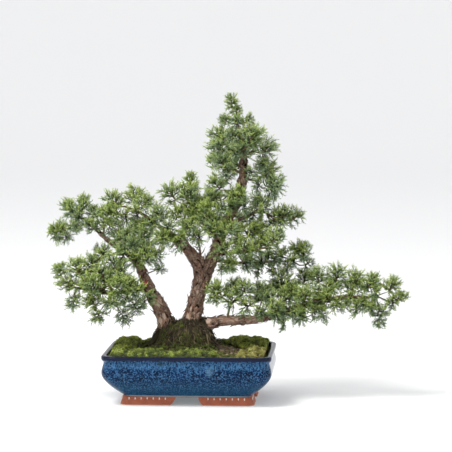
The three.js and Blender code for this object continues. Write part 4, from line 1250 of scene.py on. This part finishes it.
def soil_height(x, y):
    """The soil's height: level at the pot's wall, a little crowned, heaped up on the root ball."""
    across = (x - POT_MIDDLE.x) / SOIL_EDGE_HALF[0]
    deep = (y - POT_MIDDLE.y) / SOIL_EDGE_HALF[1]
    crown = SOIL_CROWN * (1 - across ** 2) * (1 - deep ** 2)
    return SOIL_EDGE_HEIGHT + crown + ROOT_BALL_HEIGHT * on_root_ball(x, y)


def in_patch(place, patch):
    """Whether a place lies in an upright ellipse given as its middle and its half widths."""
    (x, y), (half_x, half_y) = patch
    return ((place[0] - x) / half_x) ** 2 + ((place[1] - y) / half_y) ** 2 < 1


def lumps(places, width):
    """Smooth random values from about -1 to 1, with lumps of this width."""
    return np.array([noise.fractal(Vector(place) / width, 0.9, 2.2, 2) for place in places])


def scatter(mesh, count, draw, keep):
    """Random places and normals on the mesh's faces that pass a test, spread evenly by area."""
    faces = [face for face in mesh.polygons if keep(face)]
    areas = np.array([face.area for face in faces])
    for index in draw.choice(len(faces), count, p=areas / areas.sum()):
        face = faces[index]
        corners = [np.array(mesh.vertices[corner].co) for corner in face.vertices]
        shares = draw.dirichlet(np.ones(len(corners)))
        yield sum(corner * share for corner, share in zip(corners, shares)), np.array(face.normal)


def set_upright(heap, form, place, normal, size, draw, **values):
    """Sets a copy of a small form on a surface, turned at random about its normal."""
    places, faces = form
    aside = square_to(draw.normal(size=3), normal)
    axes = np.stack([aside, np.cross(normal, aside), normal])
    heap.add(place + (places * size) @ axes, faces, **values)


def make_soil():
    """Brown grains from nearly black to pale clay."""
    material = new_material("soil_mix", {"Roughness": 0.95})
    tree = material.node_tree
    hue = stored(tree, "hue")[0]
    blotch, speckle = speckles(tree, object_place(tree), 160, 800)
    earth = blend(tree, speckle, SOIL_DARK, SOIL_BROWN)
    mottled = blend(tree, blotch, earth, SOIL_DARK)
    grains = blend(tree, fade(tree, hue, 0.15, 1.0), mottled, SOIL_PALE)
    return painted(material, grains, (speckle, 0.6, 0.0005))


soil_surface = copy_of("soil", "earth")
with editing(soil_surface):
    select_upward(soil_surface)
    bpy.ops.mesh.subdivide(number_cuts=SOIL_CUTS)
    bpy.ops.mesh.vertices_smooth(factor=0.5, repeat=3)
    bpy.ops.mesh.select_all(action="SELECT")
    bpy.ops.mesh.quads_convert_to_tris()
places = places_of(soil_surface.data)
top = (normals_of(soil_surface.data)[:, 2] > UPWARD) & (places[:, 2] > SOIL_TOP_LOW)
grain_width, grain_height = SOIL_LUMPS
lump_width, lump_height = ROOT_BALL_LUMPS
rough = grain_height * (lumps(places, grain_width) - 0.6)
rough = rough + lump_height * on_root_ball(places[:, 0], places[:, 1]) * lumps(places, lump_width)
places[:, 2] = np.where(top, soil_height(places[:, 0], places[:, 1]) + rough, places[:, 2])
move_to(soil_surface.data, places)
crumbs = Heap()
crumbs.add(places, faces_of(soil_surface.data), hue=0.0)
bpy.ops.mesh.primitive_ico_sphere_add(subdivisions=1, radius=1)
grain_form = form_of([bpy.context.object])
draw = np.random.default_rng(21)
for place, normal in scatter(soil_surface.data, GRAIN_COUNT, draw, lambda face: face.normal.z > 0.3):
    if in_patch(place, BARE_PATCH) or draw.random() < GRAINS_UNDER_MOSS:
        size = draw.uniform(*GRAIN_SIZES) * draw.uniform(*GRAIN_STRETCH, 3)
        set_upright(crumbs, grain_form, place, normal, size, draw, hue=draw.uniform(0, 1) ** 2)
earth = crumbs.piece("soil_mix")
earth.data.shade_flat()
earth.data.materials.append(make_soil())
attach(earth, "root")
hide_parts("soil")


# Fine roots: the root ball is matted with thin dark roots that come out under the trunks and run down
# over it into the soil, with a few old pale ones among them.
ROOT_COUNT = 2900
ROOT_STEPS = 3
ROOT_RADII = (0.00035, 0.00075)
# A root begins within this reach of the root ball's middle, in an oval that is wide and less deep
ROOT_BEGIN = 0.030
ROOT_OVAL = (1.25, 0.95)
ROOT_REACH = (0.005, 0.017)
ROOT_LIFT = (-0.0006, 0.0030)
ROOT_SINK = 0.001
ROOT_SWAY = 0.08
FREE_ENDS = 0.55
FREE_END = 0.0060
ROOT_CLIMB = 0.012
ROOT_BALL_FOOT = 0.03
ABOVE_ROOTS = 0.106
ROOT_DARK = (0.014, 0.011, 0.004, 1)
ROOT_MID = (0.075, 0.056, 0.022, 1)
ROOT_PALE = (0.260, 0.205, 0.115, 1)


def make_roots():
    """Thin roots from nearly black to straw."""
    material = new_material("fine_roots", {"Roughness": 0.9})
    tree = material.node_tree
    hue = stored(tree, "hue")[0]
    dark = blend(tree, fade(tree, hue, 0.0, 0.7), ROOT_DARK, ROOT_MID)
    return painted(material, blend(tree, fade(tree, hue, 0.88, 1.0), dark, ROOT_PALE))


root_ball = surface_of([soil_surface, wood])
roots = Heap()
draw = np.random.default_rng(33)
for _ in range(ROOT_COUNT):
    turn = draw.uniform(0, 2 * math.pi)
    begin = draw.uniform(0.1, 1.0)
    reach = draw.uniform(*ROOT_REACH)
    stops = []
    for step in range(ROOT_STEPS + 1):
        out = begin * ROOT_BEGIN + reach * step / ROOT_STEPS
        turn += draw.normal(0, ROOT_SWAY)
        x = ROOT_BALL[0] + math.cos(turn) * out * ROOT_OVAL[0]
        y = ROOT_BALL[1] + math.sin(turn) * out * ROOT_OVAL[1]
        hit, normal, _, _ = root_ball.ray_cast(Vector((x, y, ABOVE_ROOTS)), Vector((0, 0, -1)))
        if hit is None or on_root_ball(x, y) < ROOT_BALL_FOOT or hit.z > soil_height(x, y) + ROOT_CLIMB:
            break
        stops.append(hit + normal * (draw.uniform(*ROOT_LIFT) if step else -ROOT_SINK))
    if len(stops) > 2:
        if draw.random() < FREE_ENDS:
            stops[-1] = stops[-1] + normal * draw.uniform(0.2, 1) * FREE_END
        lay_cord(roots, stops, draw.uniform(*ROOT_RADII), hue=draw.uniform(0, 1))
fine_roots = roots.piece("fine_roots")
fine_roots.data.materials.append(make_roots())
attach(fine_roots, "root")


# Moss: live cushions pressed onto the soil, soft and lumpy, each made of countless upright stems with
# pointed leaves, and a thin carpet between them. Bright at the left and right, greener in front and at
# the back, and olive where it is drier at the right front.
MOSS_VOXEL = 0.0016
# Lumps of the cushions as [width, height]
MOSS_LUMPS = [(0.0110, 0.0026), (0.0050, 0.0022)]
LEAVES = 5
LEAF_LENGTH = 0.0025
LEAF_RADIUS = 0.00046
LEAF_TILT = math.radians(38)
AREA_PER_PLANT = 5.0e-6
SPREAD_OUT = (1.13, 1.13)
BACK_SPREAD_OUT = (1.28, 1.13)
MOSS_EDGE = (0.0995, 0.0745)
# The two right cushions lie closer to the pot's wall and leave the soil bare beside them
MOSS_PUSH = {"moss_right": 0.006, "moss_right_front": 0.006}
MOSS_TOP = 0.25
# Plants that are tried, their sizes, and their stored height as [at the base, from there to the tips]
CUSHION_SIZES = (0.75, 1.25)
CUSHION_HEIGHT = (0.10, 0.45)
CARPET_PLANTS = 3800
CARPET_SIZES = (0.8, 1.5)
CARPET_HEIGHT = (0.35, 0.5)
CARPET_ON_BARE_SOIL = 0.12
ROOT_BALL_PLANTS = 700
ROOT_BALL_SIZES = (1.1, 1.9)
ROOT_BALL_MOSS_HEIGHT = (0.30, 0.5)
ROOT_BALL_MOSS_LIFT = 0.0012
# Where moss climbs the root ball, as upright ellipses
MOSS_ON_ROOTS = [
    ((-0.028, -0.032), (0.015, 0.014)), ((-0.050, -0.040), (0.020, 0.014)),
    ((-0.064, -0.012), (0.011, 0.012)), ((-0.090, -0.026), (0.014, 0.016)),
    ((-0.060, 0.036), (0.030, 0.012)),
]
# Each moss as its tones: its darkest, painted as shade between the lumps and at the plants' feet, then
# on the stems and at the leaf tips
MOSS_TONES = {
    "moss_bright": ((0.045, 0.055, 0.006, 1), (0.270, 0.330, 0.032, 1), (0.600, 0.670, 0.135, 1)),
    "moss_green": ((0.024, 0.034, 0.005, 1), (0.180, 0.240, 0.028, 1), (0.460, 0.540, 0.105, 1)),
    "moss_olive": ((0.050, 0.044, 0.010, 1), (0.310, 0.295, 0.060, 1), (0.600, 0.570, 0.185, 1)),
}
MOSS_SLOTS = {
    "moss_left": "moss_bright", "moss_right": "moss_bright", "moss_front_left": "moss_green",
    "moss_front": "moss_green", "moss_back": "moss_green", "moss_right_front": "moss_olive",
}


def leaf(turn):
    """One pointed leaf: a three-sided cone leaning outwards."""
    aside = math.sin(LEAF_TILT)
    lean = Vector((aside * math.cos(turn), aside * math.sin(turn), math.cos(LEAF_TILT)))
    return add_cone(lean * LEAF_LENGTH * 0.4, lean, LEAF_LENGTH, LEAF_RADIUS)


def make_moss(name):
    """Moss of one colour: painted shade between the lumps, at the plants' feet and in small patches,
    bright at the leaf tips.
    """
    deep, middle, tip = MOSS_TONES[name]
    material = new_material(name, {"Roughness": 0.8})
    tree = material.node_tree
    height, hue = stored(tree, "height", "hue")
    blotch, speckle = speckles(tree, object_place(tree), 230, 1300)
    # Painted shade: low-lying parts, between the lumps and at the feet of the plants, take the darkest
    # tone
    low = blend(tree, fade(tree, height, 0.15, 0.80), deep, middle)
    high = blend(tree, fade(tree, height, 0.6, 1.15), low, tip)
    varied = blend(tree, fade(tree, hue, 0.45, 1.0), high, middle)
    dry = blend(tree, blotch, varied, high)
    # Painted shade in small random patches, as in the gaps between tufts
    shade_patched = blend(tree, ranged(tree, blotch, 0.60, 0.0), dry, deep)
    return painted(material, blend(tree, 0.6, shade_patched, speckle, "OVERLAY"))


def set_plant(heap, place, upward, heights, sizes, draw):
    """Sets one moss plant on a surface; its stored height rises from the base to its leaf tips."""
    base, rise = heights
    height = base + moss_plant[0][:, 2] / LEAF_LENGTH * rise
    size = draw.uniform(*sizes)
    set_upright(heap, moss_plant, place, upward, size, draw, height=height, hue=draw.uniform(0, 1))


def moss_climbs(place):
    """Whether moss climbs the root ball at a place."""
    return any(in_patch(place, patch) for patch in MOSS_ON_ROOTS)


moss_materials = {name: make_moss(name) for name in MOSS_TONES}
moss_plant = form_of([leaf(turn * 2 * math.pi / LEAVES) for turn in range(LEAVES)])
draw = np.random.default_rng(8)
for node, slot in MOSS_SLOTS.items():
    cushion = copy_of(node, "cushion")
    places = places_of(cushion.data)
    places[:, 0] += MOSS_PUSH.get(node, 0)
    middle = (places.max(0) + places.min(0)) / 2
    for axis in (0, 1):
        wider = (BACK_SPREAD_OUT if node == "moss_back" else SPREAD_OUT)[axis]
        spread = middle[axis] + (places[:, axis] - middle[axis]) * wider
        wall = MOSS_EDGE[axis]
        places[:, axis] = np.clip(spread, POT_MIDDLE[axis] - wall, POT_MIDDLE[axis] + wall)
    move_to(cushion.data, places)
    apply_modifier(cushion, "skin", "REMESH", mode="VOXEL", voxel_size=MOSS_VOXEL)
    apply_modifier(cushion, "ease", "SMOOTH", factor=0.5, iterations=4)
    places, normals = places_of(cushion.data), normals_of(cushion.data)
    raised = sum(height * lumps(places, width) for width, height in MOSS_LUMPS)
    triangles = triangles_of(cushion)
    places = places + normals * (raised * np.clip(normals[:, 2], 0, 1))[:, None]
    move_to(cushion.data, places)
    # Hollows between the lumps store a low height, which the moss material paints in shade
    share = np.clip(0.42 + raised / 0.0036, 0, 1) * 0.8
    heap = Heap()
    heap.add(places, triangles, height=share, hue=0.0)
    area = sum(face.area for face in cushion.data.polygons if face.normal.z > MOSS_TOP)
    near = tree_of(places)
    plants = int(area / AREA_PER_PLANT)
    base, rise = CUSHION_HEIGHT
    for place, normal in scatter(cushion.data, plants, draw, lambda face: face.normal.z > MOSS_TOP):
        upward = unit(normal + np.array([0, 0, 1.0]))
        raised_base = share[near.find(place)[1]] + base
        set_plant(heap, place, upward, (raised_base, rise), CUSHION_SIZES, draw)
    bpy.data.objects.remove(cushion)
    cushion = heap.piece(node + "_cushion")
    cushion.data.materials.append(moss_materials[slot])
    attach(cushion, "root")
    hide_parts(node)

carpet = Heap()
for place, normal in scatter(soil_surface.data, CARPET_PLANTS, draw, lambda face: face.normal.z > 0.2):
    on_ball = on_root_ball(place[0], place[1]) > 0.08
    climbs = moss_climbs(place) and lumps([place], 0.007)[0] > -0.1
    bare = in_patch(place, BARE_PATCH) and draw.random() > CARPET_ON_BARE_SOIL
    if (on_ball and not climbs) or bare:
        continue
    set_plant(carpet, place, normal, CARPET_HEIGHT, CARPET_SIZES, draw)
for place, normal in scatter(
    soil_surface.data, ROOT_BALL_PLANTS, draw,
    lambda face: face.normal.z > UPWARD and moss_climbs(face.center),
):
    lifted = place + normal * ROOT_BALL_MOSS_LIFT
    set_plant(carpet, lifted, normal, ROOT_BALL_MOSS_HEIGHT, ROOT_BALL_SIZES, draw)
bpy.data.objects.remove(soil_surface)
moss_carpet = carpet.piece("moss_carpet")
moss_carpet.data.materials.append(moss_materials["moss_green"])
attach(moss_carpet, "root")
